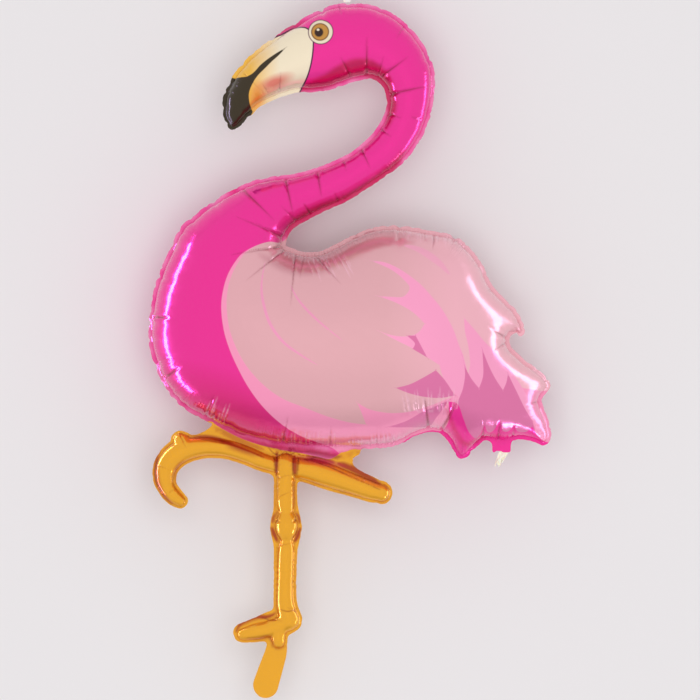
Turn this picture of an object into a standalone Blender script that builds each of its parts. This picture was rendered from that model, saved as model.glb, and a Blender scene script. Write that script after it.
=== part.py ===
"""An inflated foil flamingo balloon, lying on its side with the printed side up.

Two sheets of metallised film are cut to the bird's outline and welded together along its edge.
The chambers inside the weld line fill with gas, and the weld itself stays as a thin flat margin.
Metres, +Z up. The head points to +Y and the beak to -X. The belly rests on a small flat spot at
Z = 0, and the origin is on the floor under the middle of the balloon's box.
"""

import math

import bmesh
import bpy
import numpy as np
from mathutils.geometry import delaunay_2d_cdt

# Driving dimensions, in metres.
HEIGHT = 1.20  # inflated, from the crown of the head to the tip of the long toe
WELD_WIDTH = 0.0080  # the flat margin outside the chambers
FILM = 0.0012  # both films together; drawn thicker than real film so that it is a solid
REST_FLATTENING = 0.0120  # how far the belly is pressed flat where it lies on the floor
PIECE_GAP = 0.0003  # clearance between pieces that touch

VALVE_NECK_WIDTH = 0.032  # the foil stub at the tail that the filling tube goes into
VALVE_NECK_LENGTH = 0.032
VALVE_TAIL_WIDTH = 0.015  # the ivory film tube that hangs out of that stub
VALVE_TAIL_LENGTH = 0.021
VALVE_TAIL_FILM = 0.0015
VALVE_TAIL_SAG = 0.004

HANGER_WIDTH = 0.028  # the white hanging tab on the crown of the head
HANGER_ROOT_WIDTH = 0.010
HANGER_LENGTH = 0.024
HANGER_FILM = 0.0012
HANGER_HOLE_RADIUS = 0.0030

# A tube of film fills to a full circle, and a wide chamber to a flatter cushion. This is the
# share of its thickness that the fattest part of the belly loses against the narrow tubes' rule.
BELLY_FLATTENING = 0.15

# The figure is drawn on a sheet whose unit is a 696th of its height, x to the right and y down.
SHEET_HEIGHT = 696.0
UNIT = HEIGHT / SHEET_HEIGHT
GRID_STEP = 2.0  # spacing of the grid on which the outline is worked out, in units
CROTCH_FILLET = 5.0  # radius-like blend where two limbs meet, in units

# Limbs that fill with gas: (x, y, half width) along the middle line, to the cut edge of the foil.
NECK_AND_HEAD = [
    (226, 264, 57), (238, 240, 46.5), (266, 210.5, 32.5), (300, 197, 24), (334, 184, 21.5),
    (363, 168, 20), (389, 147, 21.5), (405, 122, 22.3), (410, 98, 23.7), (407, 74, 27.5),
    (393, 55, 31), (372, 43, 36), (345, 43, 40), (317, 54, 38), (292, 62, 31),
    (267, 75, 26), (254, 84.5, 22.6), (245, 93.5, 19.6), (239.5, 103, 17.3), (235, 114.5, 12),
    (233, 124, 6.5),
]
STANDING_LEG = [
    (285.5, 462, 12), (285.5, 500, 12), (286, 514, 13.5), (286, 528, 16), (286, 541, 13.2),
    (285.5, 553, 12), (285, 596, 11.6), (286.5, 610, 12.5), (290, 620, 12.5),
]
FRONT_TOE = [(288, 622, 12), (270, 627, 13), (256, 630, 12.2), (243, 633, 10)]
RAISED_SHANK_TO_FOOT = [
    (264, 461.5, 10.5), (247, 454.5, 10.8), (226, 448, 11.2), (205, 446.5, 12), (188, 449, 13.5),
    (176, 454.5, 14), (167, 465, 13.2), (164.5, 476, 12), (167, 487, 10.5), (174, 496, 9.5),
    (180.5, 501, 8),
]
ANKLE_KNOB = [(184, 443, 11), (180, 440, 9.5)]
RAISED_SHANK_TO_KNEE = [(311, 470, 15.5), (330, 476, 14.5), (350, 483, 13), (370, 490, 12), (381, 493, 11.5)]
GAS_LEGS = [STANDING_LEG, FRONT_TOE, RAISED_SHANK_TO_FOOT, ANKLE_KNOB, RAISED_SHANK_TO_KNEE]

# The body and tail, as the closed line of the cut edge, from the crook of the neck round by
# the back, the tail's tips, the belly and the breast.
BODY_AND_TAIL = [
    (250, 262), (276, 246), (290, 247.5), (304, 252), (320, 251), (336, 244), (352, 235.5),
    (371, 228), (391, 225), (412, 227), (434, 231), (455, 235.5), (470, 248), (483, 265),
    (491.5, 284), (504, 298), (517, 311), (525, 328), (522, 337), (511, 336), (511, 346),
    (523, 358), (540, 371), (551, 383), (550, 391), (542, 399), (545, 411), (550, 424),
    (551, 437.5), (544, 447), (533, 442), (522, 439.5), (512, 441), (502, 444), (492, 441.5),
    (484, 441), (475, 449), (466, 458.5), (457, 457), (450, 444.5), (442, 435), (431, 432),
    (418, 435), (404, 442.5), (388, 447.5), (360, 449.5), (320, 450), (280, 447), (240, 437),
    (203, 419.5), (177, 403.5), (160, 378), (151.5, 356), (148, 335), (150, 308), (157.5, 277),
    (172, 247), (194, 221),
]

# Parts that stay flat: two films welded face to face.
LONG_TOE = [(279, 633, 8.5), (277.5, 643, 10), (275, 655, 11.3), (270, 671, 12.2), (265.5, 685.5, 12.8)]
WEB_TO_ANKLE = [(205, 437, 5), (222, 434, 10), (240, 442, 10), (258, 448, 10), (272, 453, 9)]
WEB_TO_KNEE = [(300, 454, 10), (320, 457, 12), (338, 461, 9.5), (354, 472.5, 5), (370, 480.5, 4), (384, 487.5, 4.5)]
WEB_CORNER = [(345, 458, 6), (357, 453, 3)]
HEEL_WEB = [(280, 618, 10), (266, 620, 7)]
WEBS = [LONG_TOE, WEB_TO_ANKLE, WEB_TO_KNEE, WEB_CORNER, HEEL_WEB]

VALVE_NECK_TOP = (501.5, 436.0)  # the middle of the stub's root, inside the tail's cut edge
CROWN = (347.0, 3.0)  # where the hanging tab is welded to the head

# Rings of mesh points inside each chamber: (distance in from the weld, spacing along it), in
# units. They crowd at the weld, where the film rises steeply. The legs get straight rows instead.
RINGS = [(1.6, 9.0), (4.4, 9.0), (9.0, 10.5), (15, 13), (23, 16), (33, 19), (46, 23), (62, 26), (80, 28)]
WELD_SPACING = 9.0
EDGE_SPACING = 9.0
LEG_STATION_SPACING = 8.0
LEG_ROWS = (0.0, 0.5, -0.5, 0.85, -0.85)  # across a leg, in shares of its chamber's radius
CLOSEST_POINTS = 2.2
SMOOTH_STEPS = 12  # points that a smooth curve gets between two drawn ones

PINK_FOIL = (0.84, 0.03, 0.27, 1.0)
IVORY_FILM = (0.90, 0.88, 0.75, 1.0)
WHITE_FILM = (0.92, 0.92, 0.90, 1.0)


def clear_scene():
    for obj in list(bpy.data.objects):
        bpy.data.objects.remove(obj, do_unlink=True)


def finish(name, colour, roughness, metallic):
    made = bpy.data.materials.new(name)
    made.use_nodes = True
    shader = made.node_tree.nodes["Principled BSDF"]
    shader.inputs["Base Color"].default_value = colour
    shader.inputs["Roughness"].default_value = roughness
    shader.inputs["Metallic"].default_value = metallic
    return made


def smooth_curve(points, closed=False):
    """A Catmull-Rom curve through the points, with all their columns carried along."""
    p = np.asarray(points, float)
    count = len(p) if closed else len(p) - 1
    t = np.linspace(0.0, 1.0, SMOOTH_STEPS, endpoint=False)[:, None]
    spans = []
    for i in range(count):
        if closed:
            a, b, c, d = (p[(i + k) % len(p)] for k in (-1, 0, 1, 2))
        else:
            a, b, c, d = p[max(i - 1, 0)], p[i], p[i + 1], p[min(i + 2, len(p) - 1)]
        spans.append(0.5 * (2 * b + (c - a) * t + (2 * a - 5 * b + 4 * c - d) * t**2
                            + (3 * b - a - 3 * c + d) * t**3))
    curve = np.concatenate(spans)
    return curve if closed else np.vstack([curve, p[-1]])


def limb_field(limb, at):
    """How far each point is outside a limb of round sections; negative inside."""
    near = np.full(len(at), np.inf)
    for x, y, half_width in smooth_curve(limb):
        near = np.minimum(near, np.hypot(at[:, 0] - x, at[:, 1] - y) - half_width)
    return near


def distance_to_line(line, at):
    """The distance from each point to a closed line."""
    near = np.full(len(at), np.inf)
    for a, b in zip(line, np.roll(line, -1, axis=0)):
        along = b - a
        share = ((at - a) @ along) / max(along @ along, 1e-12)
        foot = a + np.clip(share, 0, 1)[:, None] * along
        near = np.minimum(near, np.hypot(*(at - foot).T))
    return near


def inside_line(line, at):
    inside = np.zeros(len(at), bool)
    for a, b in zip(line, np.roll(line, -1, axis=0)):
        crosses = (a[1] > at[:, 1]) != (b[1] > at[:, 1])
        if a[1] == b[1]:
            continue
        x = a[0] + (at[:, 1] - a[1]) / (b[1] - a[1]) * (b[0] - a[0])
        inside ^= crosses & (at[:, 0] < x)
    return inside


def outline_field(outline, at):
    line = smooth_curve(outline, closed=True)
    away = distance_to_line(line, at)
    return np.where(inside_line(line, at), -away, away)


def blended(fields, radius=CROTCH_FILLET):
    """The union of several shapes, with a fillet where they meet."""
    union = fields[0]
    for other in fields[1:]:
        mix = np.clip(0.5 + 0.5 * (union - other) / radius, 0, 1)
        union = union * (1 - mix) + other * mix - radius * mix * (1 - mix)
    return union


def drawing_grid():
    """Grid lines over everything that is drawn, with a margin all round."""
    limbs = np.array([station for limb in (NECK_AND_HEAD, *GAS_LEGS, *WEBS) for station in limb], float)
    line = np.array(BODY_AND_TAIL, float)
    low = np.minimum(line.min(axis=0), (limbs[:, :2] - limbs[:, 2:]).min(axis=0))
    high = np.maximum(line.max(axis=0), (limbs[:, :2] + limbs[:, 2:]).max(axis=0))
    margin = 5 * GRID_STEP + VALVE_NECK_LENGTH / UNIT
    x = np.arange(low[0] - margin, high[0] + margin, GRID_STEP)
    y = np.arange(low[1] - margin, high[1] + margin, GRID_STEP)
    return x, y


def stub_field(at):
    """The flat rectangular stub that holds the valve, hanging down from the tail."""
    half_width = VALVE_NECK_WIDTH / UNIT / 2
    half_length = VALVE_NECK_LENGTH / UNIT / 2
    dx = np.abs(at[:, 0] - VALVE_NECK_TOP[0]) - half_width
    dy = np.abs(at[:, 1] - VALVE_NECK_TOP[1] - half_length + 2.0) - half_length
    return np.maximum(dx, dy)


def draw_fields():
    """The cut edge's field and the chambers' field, each on the grid."""
    x, y = drawing_grid()
    at = np.stack(np.meshgrid(x, y), axis=-1).reshape(-1, 2)
    bird = blended([outline_field(BODY_AND_TAIL, at), limb_field(NECK_AND_HEAD, at)])
    standing = np.minimum(limb_field(STANDING_LEG, at), limb_field(FRONT_TOE, at))
    to_foot = np.minimum(limb_field(RAISED_SHANK_TO_FOOT, at), limb_field(ANKLE_KNOB, at))
    to_knee = limb_field(RAISED_SHANK_TO_KNEE, at)
    webs = [limb_field(web, at) for web in WEBS]
    cut = blended([bird, standing, to_foot, to_knee, *webs, stub_field(at)])
    weld = WELD_WIDTH / UNIT
    chambers = np.minimum.reduce([bird, standing, to_foot, to_knee]) + weld
    shape = (len(y), len(x))
    return cut.reshape(shape), chambers.reshape(shape)


def contours(field, level):
    """The closed lines where a field on the grid has this level, as arrays of points."""
    x, y = drawing_grid()
    values = field - level
    values = np.where(np.abs(values) < 1e-7, 1e-7, values)
    below = values < 0
    links = {}

    def crossing(i, j, k, m):
        share = values[i, j] / (values[i, j] - values[k, m])
        return (x[j] + share * (x[m] - x[j]), y[i] + share * (y[k] - y[i]))

    mixed = below[:-1, :-1].astype(int) + below[1:, :-1] + below[:-1, 1:] + below[1:, 1:]
    for i, j in zip(*np.nonzero((mixed > 0) & (mixed < 4))):
        corners = [(i, j), (i, j + 1), (i + 1, j + 1), (i + 1, j)]
        ends = []
        for a, b in zip(corners, corners[1:] + corners[:1]):
            if below[a] != below[b]:
                key = (min(a, b), max(a, b))
                ends.append((key, crossing(*key[0], *key[1]), below[a]))
        if len(ends) == 4 and not ends[0][2]:
            ends = ends[1:] + ends[:1]
        for first, second in zip(ends[::2], ends[1::2]):
            start, end = (first, second) if first[2] else (second, first)
            links[start[0]] = (end[0], start[1])
    lines = []
    while links:
        key = next(iter(links))
        line = []
        while key in links:
            key, point = links.pop(key)
            line.append(point)
        lines.append(np.array(line))
    return [line for line in lines if len(line) > 3]


def respaced(line, spacing):
    """The same closed line with its points evenly spaced."""
    closed = np.vstack([line, line[:1]])
    along = np.concatenate([[0], np.cumsum(np.hypot(*np.diff(closed, axis=0).T))])
    count = max(6, round(along[-1] / spacing))
    at = np.linspace(0, along[-1], count, endpoint=False)
    return np.stack([np.interp(at, along, closed[:, k]) for k in (0, 1)], axis=1)


def on_legs(at):
    """Which points belong to the slim gas-filled legs, outside the body."""
    on_leg = np.minimum.reduce([limb_field(limb, at) for limb in GAS_LEGS]) < 0
    return on_leg & (outline_field(BODY_AND_TAIL, at) > -WELD_WIDTH / UNIT)


def leg_rows(limb):
    """Points across a leg at even stations, so that its tube meshes in straight rows."""
    line = smooth_curve(limb)
    along = np.concatenate([[0], np.cumsum(np.hypot(*np.diff(line[:, :2], axis=0).T))])
    count = max(2, round(along[-1] / LEG_STATION_SPACING))
    at = np.linspace(0, along[-1], count + 1)
    x, y, half_width = (np.interp(at, along, line[:, k]) for k in range(3))
    ahead = np.stack([np.gradient(x), np.gradient(y)], axis=1)
    ahead /= np.hypot(*ahead.T)[:, None]
    across = np.stack([-ahead[:, 1], ahead[:, 0]], axis=1)
    radius = half_width - WELD_WIDTH / UNIT
    rows = [np.stack([x, y], axis=1) + (share * radius)[:, None] * across for share in LEG_ROWS]
    return np.concatenate(rows)


def apart(candidates, taken):
    """The candidates that keep their distance from the points already taken, and each other."""
    kept = []
    for point in candidates:
        others = np.vstack([taken, kept]) if kept else taken
        if np.hypot(*(others - point).T).min() > CLOSEST_POINTS:
            kept.append(point)
    return kept


def plan_mesh():
    """The balloon seen from above, as flat triangles: points, triangles and the weld's points."""
    cut, chambers = draw_fields()
    x, y = drawing_grid()
    edge = max((respaced(line, EDGE_SPACING) for line in contours(cut, 0.0)), key=len)
    welds = [respaced(line, WELD_SPACING) for line in contours(chambers, 0.0)]
    at = np.stack(np.meshgrid(x, y), axis=-1).reshape(-1, 2)
    depth = np.minimum.reduce([distance_to_line(weld, at) for weld in welds]).reshape(chambers.shape)
    depth = np.where(chambers < 0, depth, -depth)
    points, constraints = [*edge], []
    for loop in welds:
        first = len(points)
        points.extend(loop)
        constraints.extend((first + k, first + (k + 1) % len(loop)) for k in range(len(loop)))
    for limb in (STANDING_LEG, RAISED_SHANK_TO_FOOT, RAISED_SHANK_TO_KNEE, FRONT_TOE):
        points.extend(apart(leg_rows(limb), np.array(points)))
    for inset, spacing in RINGS:
        for line in contours(-depth, -inset):
            ring = respaced(line, spacing)
            points.extend(ring[~on_legs(ring)])
    face = list(range(len(edge)))
    made = delaunay_2d_cdt([tuple(map(float, p)) for p in points], constraints, [face], 1, 1e-5)
    vertices = np.array([(v.x, v.y) for v in made[0]])
    triangles = np.array([list(f) for f in made[2]])
    return vertices, triangles, chamber_vertices(vertices, depth)


def chamber_vertices(vertices, depth):
    """Which points of the plan lie inside a chamber, off its weld."""
    x, y = drawing_grid()
    column = np.clip((vertices[:, 0] - x[0]) / GRID_STEP, 0, len(x) - 1.001)
    row = np.clip((vertices[:, 1] - y[0]) / GRID_STEP, 0, len(y) - 1.001)
    i, j = row.astype(int), column.astype(int)
    v, u = row - i, column - j
    sampled = ((1 - v) * ((1 - u) * depth[i, j] + u * depth[i, j + 1])
               + v * ((1 - u) * depth[i + 1, j] + u * depth[i + 1, j + 1]))
    return sampled > RINGS[0][0] / 2


def filled_height(vertices, triangles, inside):
    """How far each point of the film stands off the weld's plane when the chambers are full.

    The square root of the solution of Poisson's equation gives a circle across a tube and a
    rounded cushion over a wide chamber, and nothing on the welds.
    """
    index = -np.ones(len(vertices), int)
    index[inside] = np.arange(inside.sum())
    matrix = np.zeros((inside.sum(), inside.sum()))
    load = np.zeros(inside.sum())
    for tri in triangles:
        corner = vertices[tri]
        area = abs(np.linalg.det(np.stack([corner[1] - corner[0], corner[2] - corner[0]]))) / 2
        for k in range(3):
            a, b, c = tri[k], tri[(k + 1) % 3], tri[(k + 2) % 3]
            if inside[a]:
                load[index[a]] += 2.0 * area / 3
            u, w = vertices[b] - vertices[a], vertices[c] - vertices[a]
            weight = 0.5 * (u @ w) / max(abs(u[0] * w[1] - u[1] * w[0]), 1e-9)
            for p, q in ((b, c), (c, b)):
                if inside[p]:
                    matrix[index[p], index[p]] += weight
                    if inside[q]:
                        matrix[index[p], index[q]] -= weight
    height = np.zeros(len(vertices))
    height[inside] = np.sqrt(np.maximum(np.linalg.solve(matrix, load), 0.0))
    return height * (1 - BELLY_FLATTENING * height / height.max())


def tube_height(limb, at):
    """How far the film of a slim limb stands off: a round section all along its middle line."""
    best = np.zeros(len(at))
    for x, y, half_width in smooth_curve(limb):
        radius = max(half_width - WELD_WIDTH / UNIT, 0.0)
        best = np.maximum(best, radius**2 - (at[:, 0] - x) ** 2 - (at[:, 1] - y) ** 2)
    return np.sqrt(best)


def envelope_height(plan, triangles, inside):
    """The film's height everywhere: cushions for body and head, round tubes for the legs."""
    height = filled_height(plan, triangles, inside)
    legs = np.maximum.reduce([tube_height(limb, plan) for limb in GAS_LEGS])
    return np.where(on_legs(plan), legs, height) * UNIT


def to_world(vertices):
    """Sheet units to metres, with y turned up."""
    return np.stack([vertices[:, 0] * UNIT, (SHEET_HEIGHT - vertices[:, 1]) * UNIT], axis=1)


def new_object(name, vertices, faces, material):
    mesh = bpy.data.meshes.new(name)
    mesh.from_pydata([tuple(map(float, v)) for v in vertices], [], [list(map(int, f)) for f in faces])
    mesh.validate()
    obj = bpy.data.objects.new(name, mesh)
    bpy.context.scene.collection.objects.link(obj)
    mesh.materials.append(material)
    mesh.shade_smooth()
    mesh.set_sharp_from_angle(angle=math.radians(55))
    return obj


def foil_balloon():
    """The welded envelope: neck, head, body, tail, legs and the flat margins round them."""
    plan, triangles, inside = plan_mesh()
    height = envelope_height(plan, triangles, inside)
    seam_z = height.max() + FILM / 2 - REST_FLATTENING
    flat = to_world(plan)
    top = np.column_stack([flat, seam_z + FILM / 2 + height])
    under = np.column_stack([flat, np.maximum(seam_z - FILM / 2 - height, 0.0)])
    count = len(plan)
    corner = flat[triangles]
    turn = np.cross(corner[:, 1] - corner[:, 0], corner[:, 2] - corner[:, 0])
    upward = np.where((turn > 0)[:, None], triangles, triangles[:, ::-1])
    edges = {}
    for a, b, c in upward:
        for p, q in ((a, b), (b, c), (c, a)):
            edges[(p, q)] = True
    rim = [(p, q) for p, q in edges if (q, p) not in edges]
    faces = [list(f) for f in upward]
    faces += [[a + count, c + count, b + count] for a, b, c in upward]
    faces += [[q, p, p + count, q + count] for p, q in rim]
    material = finish("metallised_film_pink", PINK_FOIL, 0.22, 0.8)
    return new_object("foil_balloon", np.vstack([top, under]), faces, material), seam_z


def valve_tail(seam_z):
    """The ivory film tube that sticks out of the valve stub and sags a little."""
    segments = 6
    root_x = VALVE_NECK_TOP[0] * UNIT
    stub_end = VALVE_NECK_TOP[1] - 2.0 + VALVE_NECK_LENGTH / UNIT
    root_y = (SHEET_HEIGHT - stub_end) * UNIT - PIECE_GAP
    lower, upper = [], []
    for k in range(segments + 1):
        share = k / segments
        half = VALVE_TAIL_WIDTH / 2 * (0.45 + 0.55 * math.sin(math.pi * (0.15 + 0.6 * share)))
        y = root_y - VALVE_TAIL_LENGTH * share
        z = seam_z - VALVE_TAIL_SAG * share**2
        for side in (-1, 1):
            lower.append((root_x + side * half, y, z - VALVE_TAIL_FILM / 2))
            upper.append((root_x + side * half, y, z + VALVE_TAIL_FILM / 2))
    n = len(lower)
    faces = [[1, 0, n, n + 1], [n - 2, n - 1, 2 * n - 1, 2 * n - 2]]
    for k in range(segments):
        a, b, c, d = 2 * k, 2 * k + 1, 2 * k + 3, 2 * k + 2
        faces += [[a, b, c, d], [a + n, d + n, c + n, b + n], [a, d, d + n, a + n], [b, b + n, c + n, c]]
    return new_object("valve_tail", lower + upper, faces, finish("ivory_film", IVORY_FILM, 0.45, 0.0))


def hanging_tab(seam_z, crown_y):
    """The white film tab on the crown: a narrow root that fans out, with a punched hole."""
    root_y = crown_y + PIECE_GAP
    x = CROWN[0] * UNIT
    corner = HANGER_WIDTH * 0.18
    outline = [(-HANGER_ROOT_WIDTH / 2, 0), (HANGER_ROOT_WIDTH / 2, 0)]
    for side, start in ((1, 0), (-1, 90)):
        for k in range(5):
            angle = math.radians(start + 22.5 * k)
            outline.append((side * (HANGER_WIDTH / 2 - corner) + corner * math.cos(angle),
                            HANGER_LENGTH - corner + corner * math.sin(angle)))
    bm = bmesh.new()
    face = bm.faces.new([bm.verts.new((x + dx, root_y + dy, seam_z - HANGER_FILM / 2)) for dx, dy in outline])
    raised = bmesh.ops.extrude_face_region(bm, geom=[face])
    moved = [v for v in raised["geom"] if isinstance(v, bmesh.types.BMVert)]
    bmesh.ops.translate(bm, verts=moved, vec=(0, 0, HANGER_FILM))
    bmesh.ops.recalc_face_normals(bm, faces=bm.faces)
    mesh = bpy.data.meshes.new("hanging_tab")
    bm.to_mesh(mesh)
    bm.free()
    mesh.materials.append(finish("white_film", WHITE_FILM, 0.45, 0.0))
    tab = bpy.data.objects.new("hanging_tab", mesh)
    bpy.context.scene.collection.objects.link(tab)
    bpy.ops.mesh.primitive_cylinder_add(
        vertices=20, radius=HANGER_HOLE_RADIUS, depth=HANGER_FILM * 6,
        location=(x, root_y + HANGER_LENGTH - HANGER_WIDTH * 0.32, seam_z),
    )
    punch = bpy.context.object
    punch.name = "hole_punch"
    punch.hide_render = True
    punch.display_type = "WIRE"
    cut = tab.modifiers.new("punched_hole", "BOOLEAN")
    cut.operation = "DIFFERENCE"
    cut.object = punch
    return tab, punch


def crown_of(balloon):
    """The highest Y of the foil's edge beside the hanging tab."""
    x = CROWN[0] * UNIT
    near = [v.co.y for v in balloon.data.vertices if abs(v.co.x - x) < HANGER_ROOT_WIDTH]
    return max(near)


def centre_on_origin(objects, carried):
    """Moves everything so that the middle of the box's underside is the origin."""
    corners = np.array([v.co for obj in objects for v in obj.data.vertices])
    low, high = corners.min(axis=0), corners.max(axis=0)
    shift = -np.array([(low[0] + high[0]) / 2, (low[1] + high[1]) / 2, low[2]])
    for obj in objects:
        for vertex in obj.data.vertices:
            vertex.co.x += shift[0]
            vertex.co.y += shift[1]
            vertex.co.z += shift[2]
        obj.data.update()
    for obj in carried:
        obj.location.x += shift[0]
        obj.location.y += shift[1]
        obj.location.z += shift[2]


def main():
    clear_scene()
    balloon, seam_z = foil_balloon()
    tail = valve_tail(seam_z)
    tab, punch = hanging_tab(seam_z, crown_of(balloon))
    centre_on_origin([balloon, tail, tab], [punch])


main()
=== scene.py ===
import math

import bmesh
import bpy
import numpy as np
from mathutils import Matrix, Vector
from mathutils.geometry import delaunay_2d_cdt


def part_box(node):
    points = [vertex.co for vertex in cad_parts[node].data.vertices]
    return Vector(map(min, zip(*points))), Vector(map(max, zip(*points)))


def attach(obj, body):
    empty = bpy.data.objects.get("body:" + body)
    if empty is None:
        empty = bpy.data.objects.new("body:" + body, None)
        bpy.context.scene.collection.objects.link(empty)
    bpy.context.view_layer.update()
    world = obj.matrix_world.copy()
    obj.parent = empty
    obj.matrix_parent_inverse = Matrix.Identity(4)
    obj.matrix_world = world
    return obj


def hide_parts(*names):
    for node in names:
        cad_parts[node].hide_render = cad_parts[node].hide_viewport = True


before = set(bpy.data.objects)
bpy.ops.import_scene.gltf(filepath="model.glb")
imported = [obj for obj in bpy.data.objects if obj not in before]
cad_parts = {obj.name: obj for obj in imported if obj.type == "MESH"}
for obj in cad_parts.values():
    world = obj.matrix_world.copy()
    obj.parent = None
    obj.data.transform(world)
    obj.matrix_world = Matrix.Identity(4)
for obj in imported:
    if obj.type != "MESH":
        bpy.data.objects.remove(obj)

# %% [markdown]
# # A flamingo made of two sheets of film
#
# The real thing is a foil balloon. Two sheets of metallised plastic film are printed, laid face to
# face, welded along the outline of a bird and filled with gas through a valve under the tail.
# Nothing about it is stiff: the gas makes the shape, the weld line holds it in, and everything that
# the weld gathers up shows as puckers and creases.
#
# The lesson follows that order: the pattern, the weld, the filling, the puckers, then the ink, the
# film and the light. First the sizes of the plain model are read, and everything is placed on them.

bpy.context.view_layer.update()
bpy.ops.object.select_all(action="DESELECT")

# %% [markdown]
# ## The sheet and its scale
#
# A balloon designer draws the bird flat, on a sheet with its own units, with y running down. Here
# one unit is a 696th of the bird's height, which is 1.2 m when it is filled. The plain model
# was drawn the same way, so one shift takes the sheet to the model. It is read off the model's
# own node, and everything later is placed with it. Lengths on the sheet are in units, all others
# in metres.

# %% Units of the drawing, and how they meet the model
HEIGHT = 1.20  # of the filled bird, in metres
UNIT = HEIGHT / 696.0
WELD_WIDTH = 0.0062 / UNIT  # the flat margin outside the body's chambers
LEG_WELD = 0.0042 / UNIT
FILM = 0.0005  # both films together, in metres
TAB_FILM = 0.0012
BELLY_FLATTENING = 0.15  # the share by which the deepest part is less deep than a free cushion
PRESS = 700.0  # side of the square sheet that goes through the printing press

DRAWN_LEFT, DRAWN_BOTTOM = 147.96, 698.28  # where the drawing's cut edge ends
balloon_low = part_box("foil_balloon")[0]
SHIFT_X = balloon_low[0] - DRAWN_LEFT * UNIT
SHIFT_Y = balloon_low[1] + DRAWN_BOTTOM * UNIT
SEAM_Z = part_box("hanging_tab")[0][2] + TAB_FILM / 2
print("seam height:", round(SEAM_Z * 1000, 1), "mm")


def to_model(x, y):
    """Sheet units to the model's metres."""
    return SHIFT_X + np.asarray(x) * UNIT, SHIFT_Y - np.asarray(y) * UNIT


# %% [markdown]
# ## The pattern
#
# A limb is easiest to draw as a line of stations, each with a half width, like beads on a wire:
# the limb is the shape that all the beads sweep. The body has too many corners for that and is
# drawn as a closed line. Both are turned into a distance field, a number at every place that says
# how far it is to the edge, because fields can be merged with a soft fillet and cut at any level.

# %% Limbs and body, drawn to the cut edge of the film
NECK_AND_HEAD = [
    (226, 264, 57), (238, 240, 46.5), (266, 210.5, 32.5), (300, 197, 24), (334, 184, 21.5),
    (363, 168, 20), (389, 147, 21.5), (405, 122, 22.3), (410, 98, 23.7), (407, 74, 27.5),
    (393, 55, 31), (372, 43, 36), (345, 43, 40), (317, 54, 38), (292, 62, 31),
    (267, 75, 26), (254, 84.5, 22.6), (245, 93.5, 19.6), (239.5, 103, 17.3), (235, 114.5, 12),
    (233, 124, 6.5),
]
STANDING_LEG = [
    (285.5, 462, 12), (285.5, 500, 12), (286, 514, 13.5), (286, 528, 16), (286, 541, 13.2),
    (285.5, 553, 12), (285, 596, 11.6), (286.5, 610, 12.5), (290, 620, 12.5),
]
FRONT_TOE = [(288, 622, 12), (270, 627, 13), (256, 630, 12.2), (243, 633, 10)]
SHANK_TO_FOOT = [
    (286, 468, 9.5), (264, 461.5, 10.5), (247, 454.5, 10.8), (226, 448, 11.2), (205, 446.5, 12),
    (188, 449, 13.5), (176, 454.5, 14), (167, 465, 13.2), (164.5, 476, 12), (167, 487, 10.5),
    (174, 496, 9.5), (180.5, 501, 8),
]
ANKLE_KNOB = [(184, 443, 11), (180, 440, 9.5)]
SHANK_TO_KNEE = [
    (288, 466, 12), (311, 470, 14), (330, 476, 14.5), (350, 483, 13), (370, 490, 12), (381, 493, 11.5),
]
# the standing leg's gas doesn't fill its film evenly: it narrows above and below the joint
STANDING_CHAMBER = [
    (285.5, 462, 11.6), (285.5, 500, 11.3), (286, 508, 10.2), (286, 514, 9.9), (286.5, 520, 12.4),
    (286.5, 526, 14.2), (286.5, 532, 12.2), (287, 540, 8.4), (286.5, 546, 9.6), (286, 556, 10.9),
    (285, 596, 11.0), (286.5, 610, 12), (290, 620, 12.5),
]
TOE_CHAMBER = [(288, 622, 12), (270, 628.5, 11), (256, 631.5, 10.6), (243, 634.5, 8.4)]
HEEL_POCKET = [(281, 628, 9), (278.5, 636, 9.6), (278.5, 642, 9.2)]
GAS_LEGS = [STANDING_CHAMBER, TOE_CHAMBER, HEEL_POCKET, SHANK_TO_FOOT, ANKLE_KNOB, SHANK_TO_KNEE]
# the long toe and the webs, where both sheets are welded flat
FLAT_PARTS = [
    [(279, 633, 8.5), (277.5, 643, 10), (275, 655, 11.3), (270, 671, 12.2), (265.5, 685.5, 12.8)],
    [(205, 437, 5), (222, 434, 10), (240, 442, 10), (258, 448, 10), (272, 453, 9)],
    [(300, 454, 10), (320, 457, 12), (338, 461, 9.5), (354, 472.5, 5), (370, 480.5, 4), (384, 487.5, 4.5)],
    [(345, 458, 6), (357, 453, 3)],
    [(280, 618, 10), (266, 620, 7)],
]
BODY_AND_TAIL = [
    (250, 262), (276, 246), (290, 247.5), (304, 252), (320, 251), (336, 244), (352, 235.5),
    (371, 228), (391, 225), (412, 227), (434, 231), (455, 235.5), (470, 248), (483, 265),
    (491.5, 284), (504, 298), (517, 311), (525, 328), (522, 337), (511, 336), (511, 346),
    (523, 358), (540, 371), (551, 383), (550, 391), (542, 399), (545, 411), (550, 424),
    (551, 437.5), (544, 447), (533, 442), (522, 439.5), (512, 441), (502, 444), (492, 441.5),
    (484, 441), (475, 449), (466, 458.5), (457, 457), (450, 444.5), (442, 435), (431, 432),
    (418, 435), (404, 442.5), (388, 447.5), (360, 449.5), (320, 450), (280, 447), (240, 437),
    (203, 419.5), (177, 403.5), (160, 378), (151.5, 356), (148, 335), (150, 308), (157.5, 277),
    (172, 247), (194, 221),
]
VALVE_STUB = (501.5, 434.0, 0.032 / UNIT, 0.032 / UNIT)  # middle of its root, width and length
print("stations:", len(NECK_AND_HEAD) + sum(map(len, GAS_LEGS)), "body points:", len(BODY_AND_TAIL))

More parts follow.
